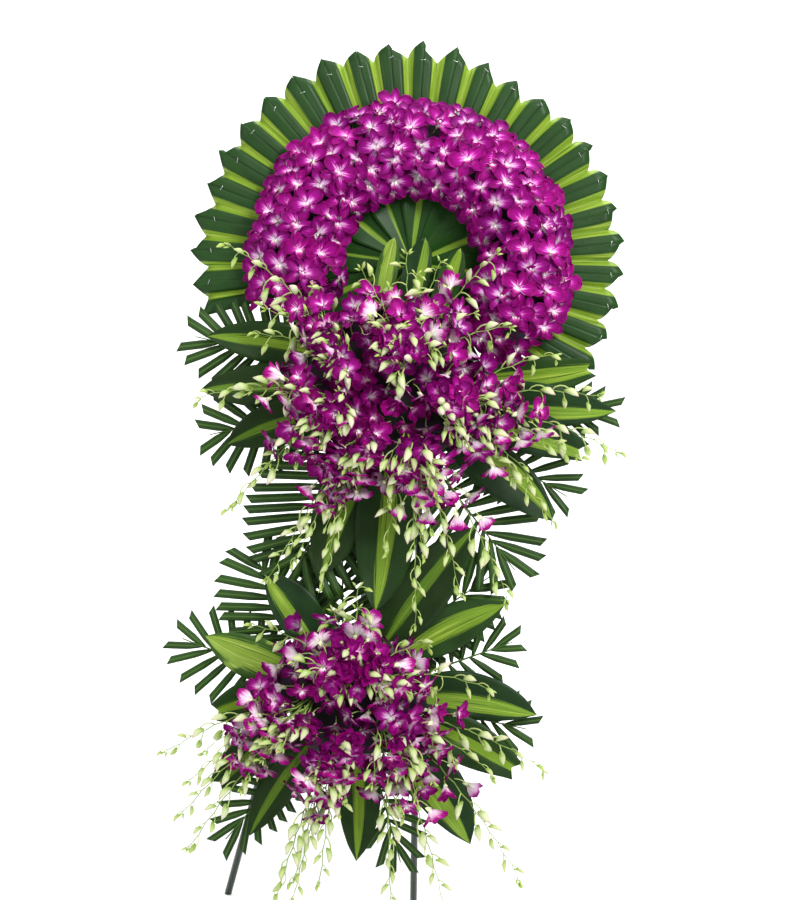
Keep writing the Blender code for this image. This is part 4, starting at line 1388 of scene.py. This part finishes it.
@dataclass(frozen=True)
class Tepal:
    """One petal or sepal: its angle, length, half width, pointedness and lift."""

    degrees: float
    length: float
    half: float
    pointed: float
    lift: float
    arch: float = 0.07
    fall: float = 0.11
    cup: float = 0.12
    ripple: float = 0.03
    seat: float = 0.05

    def spread(self, share: float) -> float:
        """Width along the tepal.

        Args:
            share: 0 at its base and 1 at its tip.

        Returns:
            The width, as a share of the widest.
        """
        broad = 0.60 - 0.12 * self.pointed
        if share < broad:
            return 0.26 + 0.74 * math.sin(math.pi / 2 * share / broad) ** 1.4
        t = (share - broad) / (1 - broad)
        return max(0.0, 1 - t ** (2.2 - 0.6 * self.pointed)) ** (0.5 + 0.25 * self.pointed)

    def build(self, turn: float, shut: float, seed: int) -> BMesh:
        """Bend it with a front and a back that meet at its edge.

        Args:
            turn: Its angle from the top.
            shut: How far it is folded forward.
            seed: Moves its ripple.

        Returns:
            The closed tepal.
        """
        def place(across: float, share: float) -> Vector:
            """Point of the tepal's front.

            Args:
                across: -1 at the left edge and 1 at the right edge.
                share: 0 at its base and 1 at its tip.

            Returns:
                The point.
            """
            share = 1 - (1 - share) ** 1.5
            rise = self.arch * math.sin(math.pi * share) - self.fall * share * share
            rise += self.cup * across ** 2 * share
            rise += self.ripple * math.sin(4 * across + 5 * share + seed)
            return Vector((across * self.half * self.spread(share), self.length * share,
                           rise * min(1.0, 4 * share) + self.lift))

        bm = leafed(grid(2 if self.pointed > 0.5 else 4, 4, place), PetalTile.FRONT,
                    PetalTile.BACK)
        return move(bm, Matrix.Rotation(-turn, 4, "Z") @ Matrix.Translation((0, self.seat, 0))
                    @ Matrix.Rotation(shut, 4, "X"))


def leafed(bm: BMesh, front: PetalTile, back: PetalTile) -> BMesh:
    """Give a bent grid a back that meets it at its sharp edge.

    Args:
        bm: The grid.
        front: The tile that its front is painted by.
        back: The tile that its back is painted by.

    Returns:
        The same mesh, closed.
    """
    grain = bm.loops.layers.uv[GRAIN]
    edges = [edge for edge in bm.edges if edge.is_boundary]
    for edge in edges:
        edge.smooth = False
    rim = {vert for edge in edges for vert in edge.verts}
    made = bmesh.ops.duplicate(bm, geom=everything(bm))
    rim = {made["vert_map"][vert] for vert in rim}
    inner = [item for item in made["geom"] if isinstance(item, BMVert) and item not in rim]
    faces = [item for item in made["geom"] if isinstance(item, BMFace)]
    bmesh.ops.translate(bm, verts=inner, vec=(0, 0, -0.035))
    bmesh.ops.reverse_faces(bm, faces=faces)
    hidden = set(faces)
    for face in bm.faces:
        for loop in face.loops:
            tile = back if face in hidden else front
            loop[grain].uv.x = min(0.999, max(0.001, loop[grain].uv.x)) + tile.value
    bmesh.ops.remove_doubles(bm, verts=bm.verts, dist=0.0001)
    return bm


@dataclass(frozen=True)
class BloomShape:
    """One dendrobium bloom of unit reach, facing +Z with its top at +Y."""

    openness: float
    seed: int
    shut: float = 78.0
    tepals: tuple[Tepal, ...] = (
        Tepal(0.0, 0.96, 0.26, 0.9, -0.02), Tepal(70.0, 0.99, 0.42, 0.1, 0.03),
        Tepal(-70.0, 0.99, 0.42, 0.1, 0.03), Tepal(140.0, 0.95, 0.27, 0.9, -0.03),
        Tepal(-140.0, 0.95, 0.27, 0.9, -0.03))
    # the column and the chin behind the bloom: two ends, their radii and the tile
    stubs: tuple = (((0, 0, -0.02), (0, -0.06, 0.24), 0.08, 0.05, PetalTile.COLUMN),
                    ((0, 0, 0.02), (0, -0.20, -0.24), 0.13, 0.04, PetalTile.CHIN))

    def lip(self, across: float, share: float) -> Vector:
        """Point of the lip, a trough that comes forward below the middle.

        Args:
            across: -1 at the left edge and 1 at the right edge.
            share: 0 at its base and 1 at its tip.

        Returns:
            The point.
        """
        wide = 0.08 + 0.12 * math.sin(math.pi * min(1.0, 0.25 + 0.70 * share))
        down = -0.04 - 0.40 * share ** 1.3
        front = 0.04 + 0.30 * math.sin(1.9 * share) * (0.6 + 0.4 * self.openness)
        return Vector((across * wide, down + 0.07 * across ** 2, front + 0.12 * across ** 2))

    def shape(self) -> Mesh:
        """Put the bloom together.

        Returns:
            The shape.
        """
        heap = Heap()
        dice = random.Random(self.seed)
        for tepal in self.tepals:
            turn = math.radians(tepal.degrees + dice.uniform(-6, 6))
            shut = math.radians(self.shut * (1 - self.openness) + dice.uniform(-7, 9))
            heap.pour(tepal.build(turn, shut, self.seed))
        heap.pour(leafed(grid(3, 4, self.lip), PetalTile.LIP, PetalTile.LIP))
        for low, high, thick, thin, tile in self.stubs:
            path = [Vector(low), Vector(low).lerp(Vector(high), 0.5), Vector(high)]
            heap.pour(tube(path, [thick, thick, thin], 5, tile.value))
        arc = [Vector((0, -0.5 + 0.5 * math.cos(a), -0.9 * math.sin(a))) for a in
               (0.0, 0.35, 0.75, 1.2)]
        stalk = tube(arc, [0.045, 0.035, 0.032, 0.032], 4, GreenTile.PEDICEL.value)
        heap.pour(stalk, material=1)
        return as_shape(heap.bm)


@dataclass(frozen=True)
class BudShape:
    """One bud of unit length on its curved pedicel, which leaves the origin along +Z."""

    bend: float
    pedicel: float
    girth: float
    spur: float = 0.30
    spur_length: float = 0.45
    belly: float = 0.62
    curve: float = 0.10
    seat: float = 0.14

    def shape(self) -> Mesh:
        """Put the bud together.

        Returns:
            The shape.
        """
        heap = Heap()
        arc = self.pedicel / self.bend
        angles = [self.bend * i / 4 for i in range(5)]
        path = [Vector((0, arc * (math.cos(a) - 1), arc * math.sin(a))) for a in angles]
        heap.pour(tube(path, [0.055, 0.045, 0.045, 0.050, 0.060], 4, GreenTile.PEDICEL.value))
        bm = bmesh.new()
        bmesh.ops.create_uvsphere(bm, u_segments=8, v_segments=7, radius=0.5)
        for vert in bm.verts:
            share = vert.co.z + 0.5
            wide = math.hypot(vert.co.x, vert.co.y)
            if wide > 1e-6:
                want = self.girth * math.sin(math.pi * share ** self.belly) ** 0.85
                vert.co.x *= want / wide
                vert.co.y *= want / wide
            hook = max(0.0, 1 - share / self.spur_length) ** 2
            vert.co.y += self.curve * share * share - self.spur * hook
            vert.co.z = share - self.seat - 0.04 * hook
        paint_grain(bm, lambda vert: (GreenTile.BUD.value + 0.5, vert.co.z + 0.12))
        heap.pour(move(bm, Matrix.Translation(path[-1]) @ Matrix.Rotation(self.bend, 4, "X")))
        return as_shape(heap.bm, 1)


def facing(centre: Vector, normal: Vector, size: float, roll: float) -> Matrix:
    """Place of a shape that faces along a normal with its top up.

    Args:
        centre: Where it is.
        normal: Where it faces.
        size: Its scale.
        roll: How far it is turned about the normal.

    Returns:
        The matrix.
    """
    normal = normal.normalized()
    up = UPWARD - normal * normal.z
    if up.length < 0.2:
        up = Vector((1, 0, 0)) - normal * normal.x
    up.normalize()
    return (Matrix.Translation(centre) @ axes(up.cross(normal), up, normal)
            @ Matrix.Rotation(roll, 4, "Z") @ Matrix.Diagonal((size, size, size, 1)))


def hanging(spot: Vector, way: Vector, down: Vector, size: float) -> Matrix:
    """Place of a bud whose pedicel leaves a stem one way and bends another.

    Args:
        spot: Where it leaves the stem.
        way: Where it leaves to.
        down: Where it bends to.
        size: The bud's length.

    Returns:
        The matrix.
    """
    back = way * down.dot(way) - down
    if back.length < 0.05:
        back = way.orthogonal()
    back.normalize()
    return (Matrix.Translation(spot) @ axes(back.cross(way), back, way)
            @ Matrix.Diagonal((size, size, size, 1)))


@dataclass
class OrchidShapes:
    """The shapes and finishes that every orchid piece shares."""

    open_shares: tuple[float, ...] = (1.0, 0.97, 0.92, 0.87, 0.80, 0.68, 0.55, 0.42, 0.30)
    open_kinds: int = 5
    # bend, length of the pedicel, half width
    bud_sizes: tuple = ((1.1, 1.10, 0.245), (1.7, 1.30, 0.255), (1.3, 0.85, 0.225),
                        (0.6, 0.65, 0.195))

    def __post_init__(self) -> None:
        """Build the blooms, the buds and their materials."""
        self.kinds = [BloomShape(openness, seed).shape()
                      for seed, openness in enumerate(self.open_shares, 1)]
        self.blooms = self.kinds[:self.open_kinds]
        self.buds = [BudShape(*sizes).shape() for sizes in self.bud_sizes]
        # the third finish is the stalk bed, dark as painted shade between the blooms
        self.finishes = [OrchidPetal().material(), OrchidGreen().material(),
                         STALK_BED_AND_PAINTED_SHADE.material()]


@dataclass
class OrchidRing:
    """The open ring of orchids, in four arcs."""

    plane: EaselPlane
    orchids: OrchidShapes
    ring_radius: float = 0.227
    arc: float = math.radians(113.0)
    bed_radius: float = 0.056
    bed_y: float = -0.005
    bloom_out: float = 0.082
    bloom_size: tuple[float, float] = (0.033, 0.041)
    spacing: float = 0.044
    rows: tuple[float, ...] = (-80.0, -54.0, -27.0, 0.0, 27.0, 54.0, 80.0)
    bed_back: float = 0.012
    bloom_back: float = -0.018
    turned: float = 0.65
    fallen: float = math.radians(8.0)
    end_reach: float = 0.068
    end_blooms: int = 9
    end_back: float = -0.008
    end_lift: float = 0.012
    end_dome: float = 0.008
    # rows of blooms over the ring's ends: side, and how far past the end
    ends: tuple = ((-1, 0.0), (1, 0.0), (1, 0.026), (1, 0.050))
    nodes: tuple[str, ...] = ("ring_blooms_left_low", "ring_blooms_left_high",
                              "ring_blooms_right_high", "ring_blooms_right_low")
    dice: random.Random = field(default_factory=lambda: random.Random(31))

    def bed(self, part: int) -> BMesh:
        """The bed of stalks in one arc, a tube cut flat behind, painted dark as the shade between
        the blooms.

        Args:
            part: Which arc, from the left.

        Returns:
            The bed.
        """
        bm = bmesh.new()
        bmesh.ops.create_circle(bm, cap_ends=True, radius=self.bed_radius, segments=14)
        for vert in bm.verts:
            vert.co = Vector((0, min(self.bed_back, self.bed_y + vert.co.y), vert.co.x))
        bmesh.ops.translate(bm, verts=bm.verts, vec=self.plane.on_ring(0, self.ring_radius, 0))
        step = 2 * self.arc / len(self.nodes)
        extra = self.fallen if part == len(self.nodes) - 1 else 0.0
        self.plane.spin(bm, -self.arc + part * step, step + extra, 14)
        paint_grain(bm, lambda vert: (vert.co.x, vert.co.z))
        return bm

    def bloom(self, spot: Vector, normal: Vector) -> Matrix:
        """Place of a bloom of any size and roll."""
        return facing(spot, normal, self.dice.uniform(*self.bloom_size),
                      self.dice.uniform(-0.6, 0.6))

    def places(self) -> Iterator[tuple[float, Matrix]]:
        """Where each bloom sits.

        Yields:
            The bloom's angle on the ring and its place.
        """
        dice = self.dice
        for row, degrees in enumerate(self.rows):
            lean = math.radians(degrees)
            reach = self.ring_radius + self.bloom_out * math.sin(lean)
            count = round(2 * self.arc * reach / self.spacing)
            for k in range(count):
                share = (k + 0.5 + (0.25 if row % 2 else -0.25) + dice.uniform(-0.2, 0.2)) / count
                angle = -self.arc + 2 * self.arc * min(0.995, max(0.005, share))
                face = lean + math.radians(dice.uniform(-9, 9))
                out = self.bloom_out + dice.uniform(-0.006, 0.003)
                spot = self.plane.on_ring(angle, self.ring_radius + out * math.sin(face),
                                          self.bed_y - out * math.cos(face))
                spot.y = min(spot.y, self.bloom_back)
                normal = (self.plane.way(angle) * math.sin(self.turned * face)
                          + FORWARD * math.cos(self.turned * face))
                normal += Vector((dice.uniform(-0.35, 0.35), 0, dice.uniform(-0.4, 0.3)))
                yield angle, self.bloom(spot, normal)
        for sign, drop in self.ends:
            end = sign * self.arc
            along = self.plane.way(end + sign * math.pi / 2)
            for k in range(self.end_blooms):
                out = self.end_reach * math.sqrt((k + 0.4) / self.end_blooms)
                y = self.bed_y + out * math.sin(2.4 * k)
                if y > self.end_back:
                    continue
                spot = self.plane.on_ring(end, self.ring_radius + out * math.cos(2.4 * k), y)
                lift = drop + self.end_lift + self.end_dome * (1 - out / self.end_reach)
                yield end * 0.999, self.bloom(spot + along * lift, along + FORWARD * 0.9)

    def build(self) -> None:
        """Build the four arcs."""
        heaps = [Heap() for _ in self.nodes]
        for part, heap in enumerate(heaps):
            # the bed stands for stalks, and its dark finish is painted shade between the blooms
            heap.pour(self.bed(part), material=2)
        for angle, where in self.places():
            part = min(3, int((angle + self.arc) / (2 * self.arc) * len(self.nodes)))
            heaps[part].put(self.dice.choice(self.orchids.blooms), where, self.dice.random())
        for node, heap in zip(self.nodes, heaps):
            self.plane.piece(heap.bm, node.replace("blooms", "orchids"), self.orchids.finishes,
                             "orchid_petal", [node])


@dataclass(frozen=True)
class SprayBunch:
    """Orchid sprays of one node: its bunch, layer, root beside the foam's middle and tips."""

    node: str
    bunch: Bunch
    layer: int
    root: tuple[float, float]
    tips: tuple[tuple[float, float], ...]


@dataclass
class FlowerMass:
    """The mass of blooms before a bunch's foam, with its sprays."""

    plane: EaselPlane
    orchids: OrchidShapes
    bunch: Bunch
    back: float = -0.0703
    steps: tuple = ((0.0, 0.0737), (0.5, 0.0737), (0.78, 0.0517), (1.0, 0.014))
    bed_depth: float = 0.0640
    bed_lump: float = 0.006
    fill_reach: float = 0.97
    crowding: float = 0.58
    tilt: float = math.radians(52)
    bloom_rise: float = 0.018
    middle_rise: float = 0.014
    bloom_size: tuple[float, float] = (0.029, 0.035)
    spray_bloom: tuple[float, float] = (0.030, 0.037)
    front: float = -0.203
    fall: float = 0.055
    layer_step: float = 0.026
    thin_from: float = 0.72
    thin_below: float = -0.40
    rim_share: float = 0.36
    rim_reach: float = 0.90
    rim_out: float = 0.010
    arch: float = 0.14
    arch_share: float = 0.28
    stem_taper: float = 0.62
    node_spacing: float = 0.0245
    # of the shorter sprays: least and largest reach, how far back, share in bloom
    shorter: tuple = ((0.62, 0.90, 0.004, 0.48), (0.46, 0.66, -0.018, 0.36),
                      (0.30, 0.48, -0.032, 0.28))
    long_bloom: float = 0.52
    bare: float = 0.20
    stem_radius: float = 0.0019
    stem_zigzag: float = 0.0014
    stalk: float = 0.026
    bud_length: tuple[float, float] = (0.0150, 0.0180)
    tip_bud: float = 0.011

    def __post_init__(self) -> None:
        """Start the mass's own random draws."""
        self.dice = random.Random(self.bunch.seed)

    def dome(self, q: float) -> float:
        """Depth of the mass's front.

        Args:
            q: The share of the mass's reach.

        Returns:
            The depth on the easel's plane.
        """
        for (q0, d0), (q1, d1) in zip(self.steps, self.steps[1:]):
            if q <= q1:
                return self.back - (d0 + (d1 - d0) * (q - q0) / (q1 - q0))
        return self.back - self.steps[-1][1]

    def bed(self) -> BMesh:
        """The bed of stalks under the blooms, a low dome flat behind, painted dark as the shade
        between the blooms.

        Returns:
            The closed bed.
        """
        bm = bmesh.new()
        bmesh.ops.create_uvsphere(bm, u_segments=28, v_segments=16, radius=1.0)
        for vert in bm.verts:
            out = math.hypot(vert.co.x, vert.co.z)
            reach = self.rim_reach if vert.co.z > -0.2 else self.thin_from
            x, z = self.bunch.outline(math.atan2(vert.co.z, vert.co.x), reach * out)
            lumps = self.bed_lump * math.sin(60 * x) * math.sin(55 * z)
            vert.co = Vector((x, self.back + self.bed_depth * vert.co.y + lumps, z))
        cut(bm, Vector((0, self.back, 0)), -FORWARD)
        paint_grain(bm, lambda vert: (vert.co.x, vert.co.z))
        return bm

    def bloom(self, heap: Heap, kinds: Sequence[Mesh], spot: Vector, normal: Vector,
              size: tuple[float, float], dice: random.Random) -> None:
        """Set one bloom down.

        Args:
            heap: Where it goes.
            kinds: The shapes to choose from.
            spot: Where it is.
            normal: Where it faces.
            size: Its least and largest size.
            dice: Source of its differences.
        """
        kind = dice.choice(kinds)
        where = facing(spot, normal, dice.uniform(*size), dice.uniform(-0.9, 0.9))
        heap.put(kind, where, dice.random())

    def fill(self, heap: Heap) -> None:
        """Set the mass's own blooms down.

        Args:
            heap: Where they go.
        """
        dice = self.dice
        golden = math.pi * (3 - math.sqrt(5))
        for k in range(self.bunch.blooms):
            q = self.fill_reach * ((k + 0.5) / self.bunch.blooms) ** self.crowding
            angle = k * golden + dice.uniform(-0.15, 0.15)
            if q > self.thin_from and math.sin(angle) < self.thin_below and k % 3:
                continue
            x, z = self.bunch.outline(angle, q)
            tilt = self.tilt * q ** 1.5
            away = Vector((math.cos(angle), 0, math.sin(angle)))
            normal = away * math.sin(tilt) + FORWARD * math.cos(tilt)
            rise = self.bloom_rise + self.middle_rise * (1 - q) + dice.uniform(-0.014, 0.020)
            spot = Vector((x, self.dome(q), z)) + normal * rise
            normal += Vector((dice.uniform(-0.9, 0.9), dice.uniform(-0.2, 0.9),
                              dice.uniform(-1.4, 0.2)))
            self.bloom(heap, self.orchids.kinds[1:], spot, normal, self.bloom_size, dice)

    def rim(self, heap: Heap) -> None:
        """Set a row of blooms round the mass's edge, so that it looks full from the side.

        Args:
            heap: Where they go.
        """
        dice = random.Random(self.bunch.seed + 50)
        count = round(self.rim_share * self.bunch.blooms)
        for k in range(count):
            angle = 2 * math.pi * (k + dice.uniform(-0.2, 0.2)) / count
            if math.sin(angle) < self.thin_below:
                continue
            x, z = self.bunch.outline(angle, self.rim_reach)
            normal = Vector((math.cos(angle), dice.uniform(-0.5, 0.1), math.sin(angle)))
            normal.z -= dice.uniform(0.0, 0.4)
            spot = Vector((x, self.back - self.rim_out + dice.uniform(-0.006, 0.004), z))
            self.bloom(heap, self.orchids.blooms, spot, normal, self.bloom_size, dice)

    def path(self, start: Vector, end: Vector, count: int, forward: float) -> list[Vector]:
        """Stations of a stem that leaves the foam, arches over and hangs.

        Args:
            start: Where it leaves the foam.
            end: Its tip.
            count: How many stations.
            forward: The depth of its arch at the mass's middle.

        Returns:
            The stations.
        """
        crest = start.lerp(end, 0.5) + UPWARD * (self.arch * (end - start).length)
        path = []
        for i in range(count):
            t = i / (count - 1)
            spot = start * (1 - t) ** 2 + crest * 2 * t * (1 - t) + end * t * t
            q = min(self.bunch.share(spot.x, spot.z) ** 2, 1.3)
            arch = max(forward + self.fall * q, self.bunch.foremost)
            spot.y = self.back + (arch - self.back) * eased(min(1.0, t / self.arch_share))
            path.append(spot)
        return path

    def spray(self, heap: Heap, flowers: Heap, path: list[Vector], opened: float) -> None:
        """Add one spray: its stem, its buds and its open blooms.

        Args:
            heap: Where stem and buds go.
            flowers: Where open blooms go.
            path: The stem's stations.
            opened: The share of its length that is in bloom.
        """
        dice = self.dice
        last = len(path) - 1
        frames = []
        for i in range(last + 1):
            ahead = heading(path, i)
            frames.append((ahead, ahead.cross(FORWARD).normalized()))
        zigzag = [spot + across * (self.stem_zigzag if i % 2 else -self.stem_zigzag) * (i > 0)
                  for i, (spot, (_, across)) in enumerate(zip(path, frames))]
        radii = [self.stem_radius * (1 - self.stem_taper * i / last) for i in range(last + 1)]
        heap.pour(tube(zigzag, radii, 5, GreenTile.STEM.value), dice.random(), 1)
        sparse = opened < self.long_bloom
        opened += dice.uniform(-0.07, 0.09)
        for i, (foot, (ahead, across)) in enumerate(zip(zigzag, frames)):
            if i < 2:
                continue
            t = i / last
            way = (across * (1 if i % 2 else -1) * dice.uniform(0.55, 0.95)
                   + ahead * dice.uniform(0.35, 0.7)
                   + FORWARD * dice.uniform(0.1, 0.8)).normalized()
            down = -UPWARD + ahead * 0.5 + Vector((dice.uniform(-0.3, 0.3), 0, 0))
            if t < self.bare:
                continue
            if t < opened:
                spot = foot + way * self.stalk
                spot.y = max(spot.y, self.bunch.foremost)
                turned = dice.uniform(-0.9, 1.1)
                normal = way * 0.7 + ahead * 0.6 + Vector((0, -turned, -0.4))
                self.bloom(flowers, self.orchids.kinds[2:], spot, normal, self.spray_bloom, dice)
            elif i % 3 or not sparse:
                ripe = min(1.0, max(0.0, (1 - t) / (1 - opened)))
                size = (self.bud_length[0] + self.bud_length[1] * ripe ** 0.7
                        + dice.uniform(-0.003, 0.003))
                heap.put(dice.choice(self.orchids.buds), hanging(foot, way, down, size),
                         min(1.0, 0.15 + 0.75 * ripe + dice.uniform(-0.15, 0.15)))
        for lean in (-0.35, 0.35):
            way = (frames[last][0] + frames[last][1] * lean).normalized()
            heap.put(self.orchids.buds[3], hanging(zigzag[last], way, -UPWARD, self.tip_bud), 0.1)

    def courses(self, spray: SprayBunch) -> Iterator[tuple[tuple[float, float], float, float]]:
        """Where a bunch's sprays end: the long ones, and shorter ones between them.

        Args:
            spray: The bunch.

        Yields:
            Each spray's tip, how far it is moved forward or back, and its share in bloom.
        """
        dice = self.dice
        middle = self.bunch.height - self.plane.wreath_height
        for number, tip in enumerate(spray.tips):
            yield tip, dice.uniform(-0.002, 0.014), self.long_bloom
            other = spray.tips[(number + 1) % len(spray.tips)]
            for low, high, sway, opened in self.shorter[number % 2:]:
                mix, reach = dice.uniform(0.1, 0.9), dice.uniform(low, high)
                x = (tip[0] + (other[0] - tip[0]) * mix) * reach + dice.uniform(-0.02, 0.02)
                up = (tip[1] + (other[1] - tip[1]) * mix - middle) * reach
                yield (x, middle + up), sway + dice.uniform(-0.008, 0.008), opened

    def build(self) -> None:
        """Build the mass and its bunches of sprays."""
        flowers = Heap()
        # the bed stands for stalks, and its dark finish is painted shade between the blooms
        flowers.pour(self.bed(), material=2)
        self.fill(flowers)
        self.rim(flowers)
        for spray in (spray for spray in SPRAYS if spray.bunch is self.bunch):
            heap = Heap()
            start = Vector((spray.root[0], 0, self.bunch.height + spray.root[1]))
            for tip, sway, opened in self.courses(spray):
                end = Vector((tip[0], 0, self.plane.wreath_height + tip[1]))
                count = max(8, round((end - start).length * 1.15 / self.node_spacing))
                forward = self.front - self.layer_step * spray.layer + sway
                self.spray(heap, flowers, self.path(start, end, count, forward), opened)
            self.plane.piece(heap.bm, spray.node + "_stems", self.orchids.finishes[:2],
                             "orchid_bud", [spray.node])
        self.plane.piece(flowers.bm, self.bunch.name + "_orchids", self.orchids.finishes,
                         "orchid_petal", [self.bunch.name + "_blooms"])


SPRAYS = (
    SprayBunch("upper_sprays_left_high", UPPER, 0, (-0.070, 0.045), (
        (-0.349, -0.031), (-0.261, -0.142), (-0.268, -0.191), (-0.175, -0.085))),
    SprayBunch("upper_sprays_left", UPPER, 1, (-0.085, -0.020), (
        (-0.362, -0.325), (-0.265, -0.300), (-0.274, -0.525), (-0.215, -0.430))),
    SprayBunch("upper_sprays_below_left", UPPER, 0, (-0.035, -0.060), (
        (-0.185, -0.654), (-0.140, -0.610), (-0.085, -0.646), (-0.090, -0.500))),
    SprayBunch("upper_sprays_below_right", UPPER, 1, (0.040, -0.055), (
        (0.107, -0.702), (0.181, -0.627), (0.274, -0.626), (0.030, -0.560))),
    SprayBunch("upper_sprays_right", UPPER, 0, (0.085, -0.010), (
        (0.340, -0.467), (0.367, -0.340), (0.443, -0.319), (0.394, -0.219), (0.250, -0.400),
        (0.300, -0.150))),
    SprayBunch("upper_sprays_above", UPPER, 1, (0.020, 0.060), (
        (0.160, 0.023), (-0.010, -0.001), (0.056, -0.008), (-0.090, -0.045), (0.205, -0.110))),
    SprayBunch("lower_sprays_left", LOWER, 0, (-0.060, -0.010), (
        (-0.334, -1.014), (-0.281, -1.063), (-0.287, -1.127), (-0.266, -1.194))),
    SprayBunch("lower_sprays_below", LOWER, 1, (-0.015, -0.055), (
        (-0.090, -1.289), (-0.052, -1.253), (-0.007, -1.216), (0.014, -1.080))),
    SprayBunch("lower_sprays_right", LOWER, 0, (0.060, -0.020), (
        (0.136, -1.257), (0.239, -1.242), (0.373, -1.163), (0.390, -0.949))),
    SprayBunch("lower_sprays_above", LOWER, 1, (0.005, 0.045), (
        (0.265, -0.807), (-0.200, -0.749), (-0.053, -0.702), (-0.014, -0.650),
        (0.130, -0.735))),
)


# Floor, light and camera


@dataclass
class Studio:
    """The pale floor that rises behind, the soft lights and the camera."""

    plane: EaselPlane
    target: tuple[float, float] = (0.0305, 0.9447)
    distance: float = 4.0
    view_height: float = 1.8
    roll: float = math.radians(8.0)
    sensor: float = 36.0
    sheet: float = 16.0
    half_sheet: float = 7.0
    front_edge: float = -5.0
    bend_from: float = 4.0
    bend_run: float = 3.0
    bend_radius: float = 1.9
    # name, place, side in metres, power in watts, aim
    lights: tuple = (("key", (1.4, -2.6, 3.4), 1.2, 125.0, (0.0, 0.0, 0.9)),
                     ("fill", (-2.6, -2.4, 2.0), 2.2, 30.0, (0.0, 0.0, 0.9)),
                     ("top", (0.2, 0.2, 3.6), 2.0, 35.0, (0.0, 0.0, 0.9)),
                     ("backdrop", (0.0, 2.6, 4.6), 4.0, 230.0, (0.0, 4.6, 0.0)))

    def backdrop(self, across: float, share: float) -> Vector:
        """Point of the one sheet that is floor and wall.

        Args:
            across: -1 at its left edge and 1 at its right edge.
            share: 0 at its front edge and 1 at its top edge.

        Returns:
            The point.
        """
        past = self.front_edge + self.sheet * share - self.bend_from
        bend = min(1.0, max(0.0, past / self.bend_run)) * math.pi / 2
        return Vector((self.half_sheet * across,
                       self.bend_from + min(0.0, past) + self.bend_radius * math.sin(bend),
                       self.bend_radius * (1 - math.cos(bend)) + max(0.0, past - self.bend_run)))

    def camera(self) -> None:
        """Stand the camera square to the easel's plane, rolled as the photograph is."""
        data = bpy.data.cameras.new("camera")
        data.sensor_width = self.sensor
        data.lens = self.sensor * self.distance / self.view_height
        data.clip_end = 100.0
        turn = self.plane.matrix.to_3x3()
        right, up, back = turn @ Vector((1, 0, 0)), turn @ UPWARD, turn @ FORWARD
        tilted = up * math.cos(self.roll) - right * math.sin(self.roll)
        centre = self.plane.matrix @ Vector((self.target[0], 0, self.target[1]))
        stand = bpy.data.objects.new("camera", data)
        stand.matrix_world = (Matrix.Translation(centre + back * self.distance)
                              @ axes(tilted.cross(back), tilted, back))
        bpy.context.scene.collection.objects.link(stand)
        bpy.context.scene.camera = stand

    def build(self) -> None:
        """Build the studio."""
        floor = as_object(grid(2, 96, self.backdrop), "floor", [PAPER.material()])
        world = bpy.data.worlds.new("soft daylight")
        daylight = Recipe(world)
        glow = daylight.add("Background", {"Color": linear("f7f8f8"), "Strength": 0.62})
        daylight.add("OutputWorld", {"Surface": glow})
        bpy.context.scene.world = world
        for name, spot, size, power, aim in self.lights:
            data = bpy.data.lights.new(name, "AREA")
            data.size = size
            data.energy = power
            lamp = bpy.data.objects.new(name, data)
            lamp.location = spot
            lamp.visible_camera = False
            lamp.rotation_mode = "QUATERNION"
            lamp.rotation_quaternion = (Vector(aim) - Vector(spot)).to_track_quat("-Z", "Y")
            bpy.context.scene.collection.objects.link(lamp)
        self.camera()
        bpy.context.scene.view_settings.view_transform = "Standard"


def main() -> None:
    """Build every piece of the wreath in order."""
    logging.basicConfig(level=logging.INFO, format="%(name)s: %(message)s")
    plane = EaselPlane()
    for part in (Studio, Easel, BoardAndFoam, LeafCollar, Rosette, BroadLeaves, PalmFronds):
        part(plane).build()
    orchids = OrchidShapes()
    OrchidRing(plane, orchids).build()
    for bunch in (UPPER, LOWER):
        FlowerMass(plane, orchids, bunch).build()


if __name__ == "__main__":
    main()
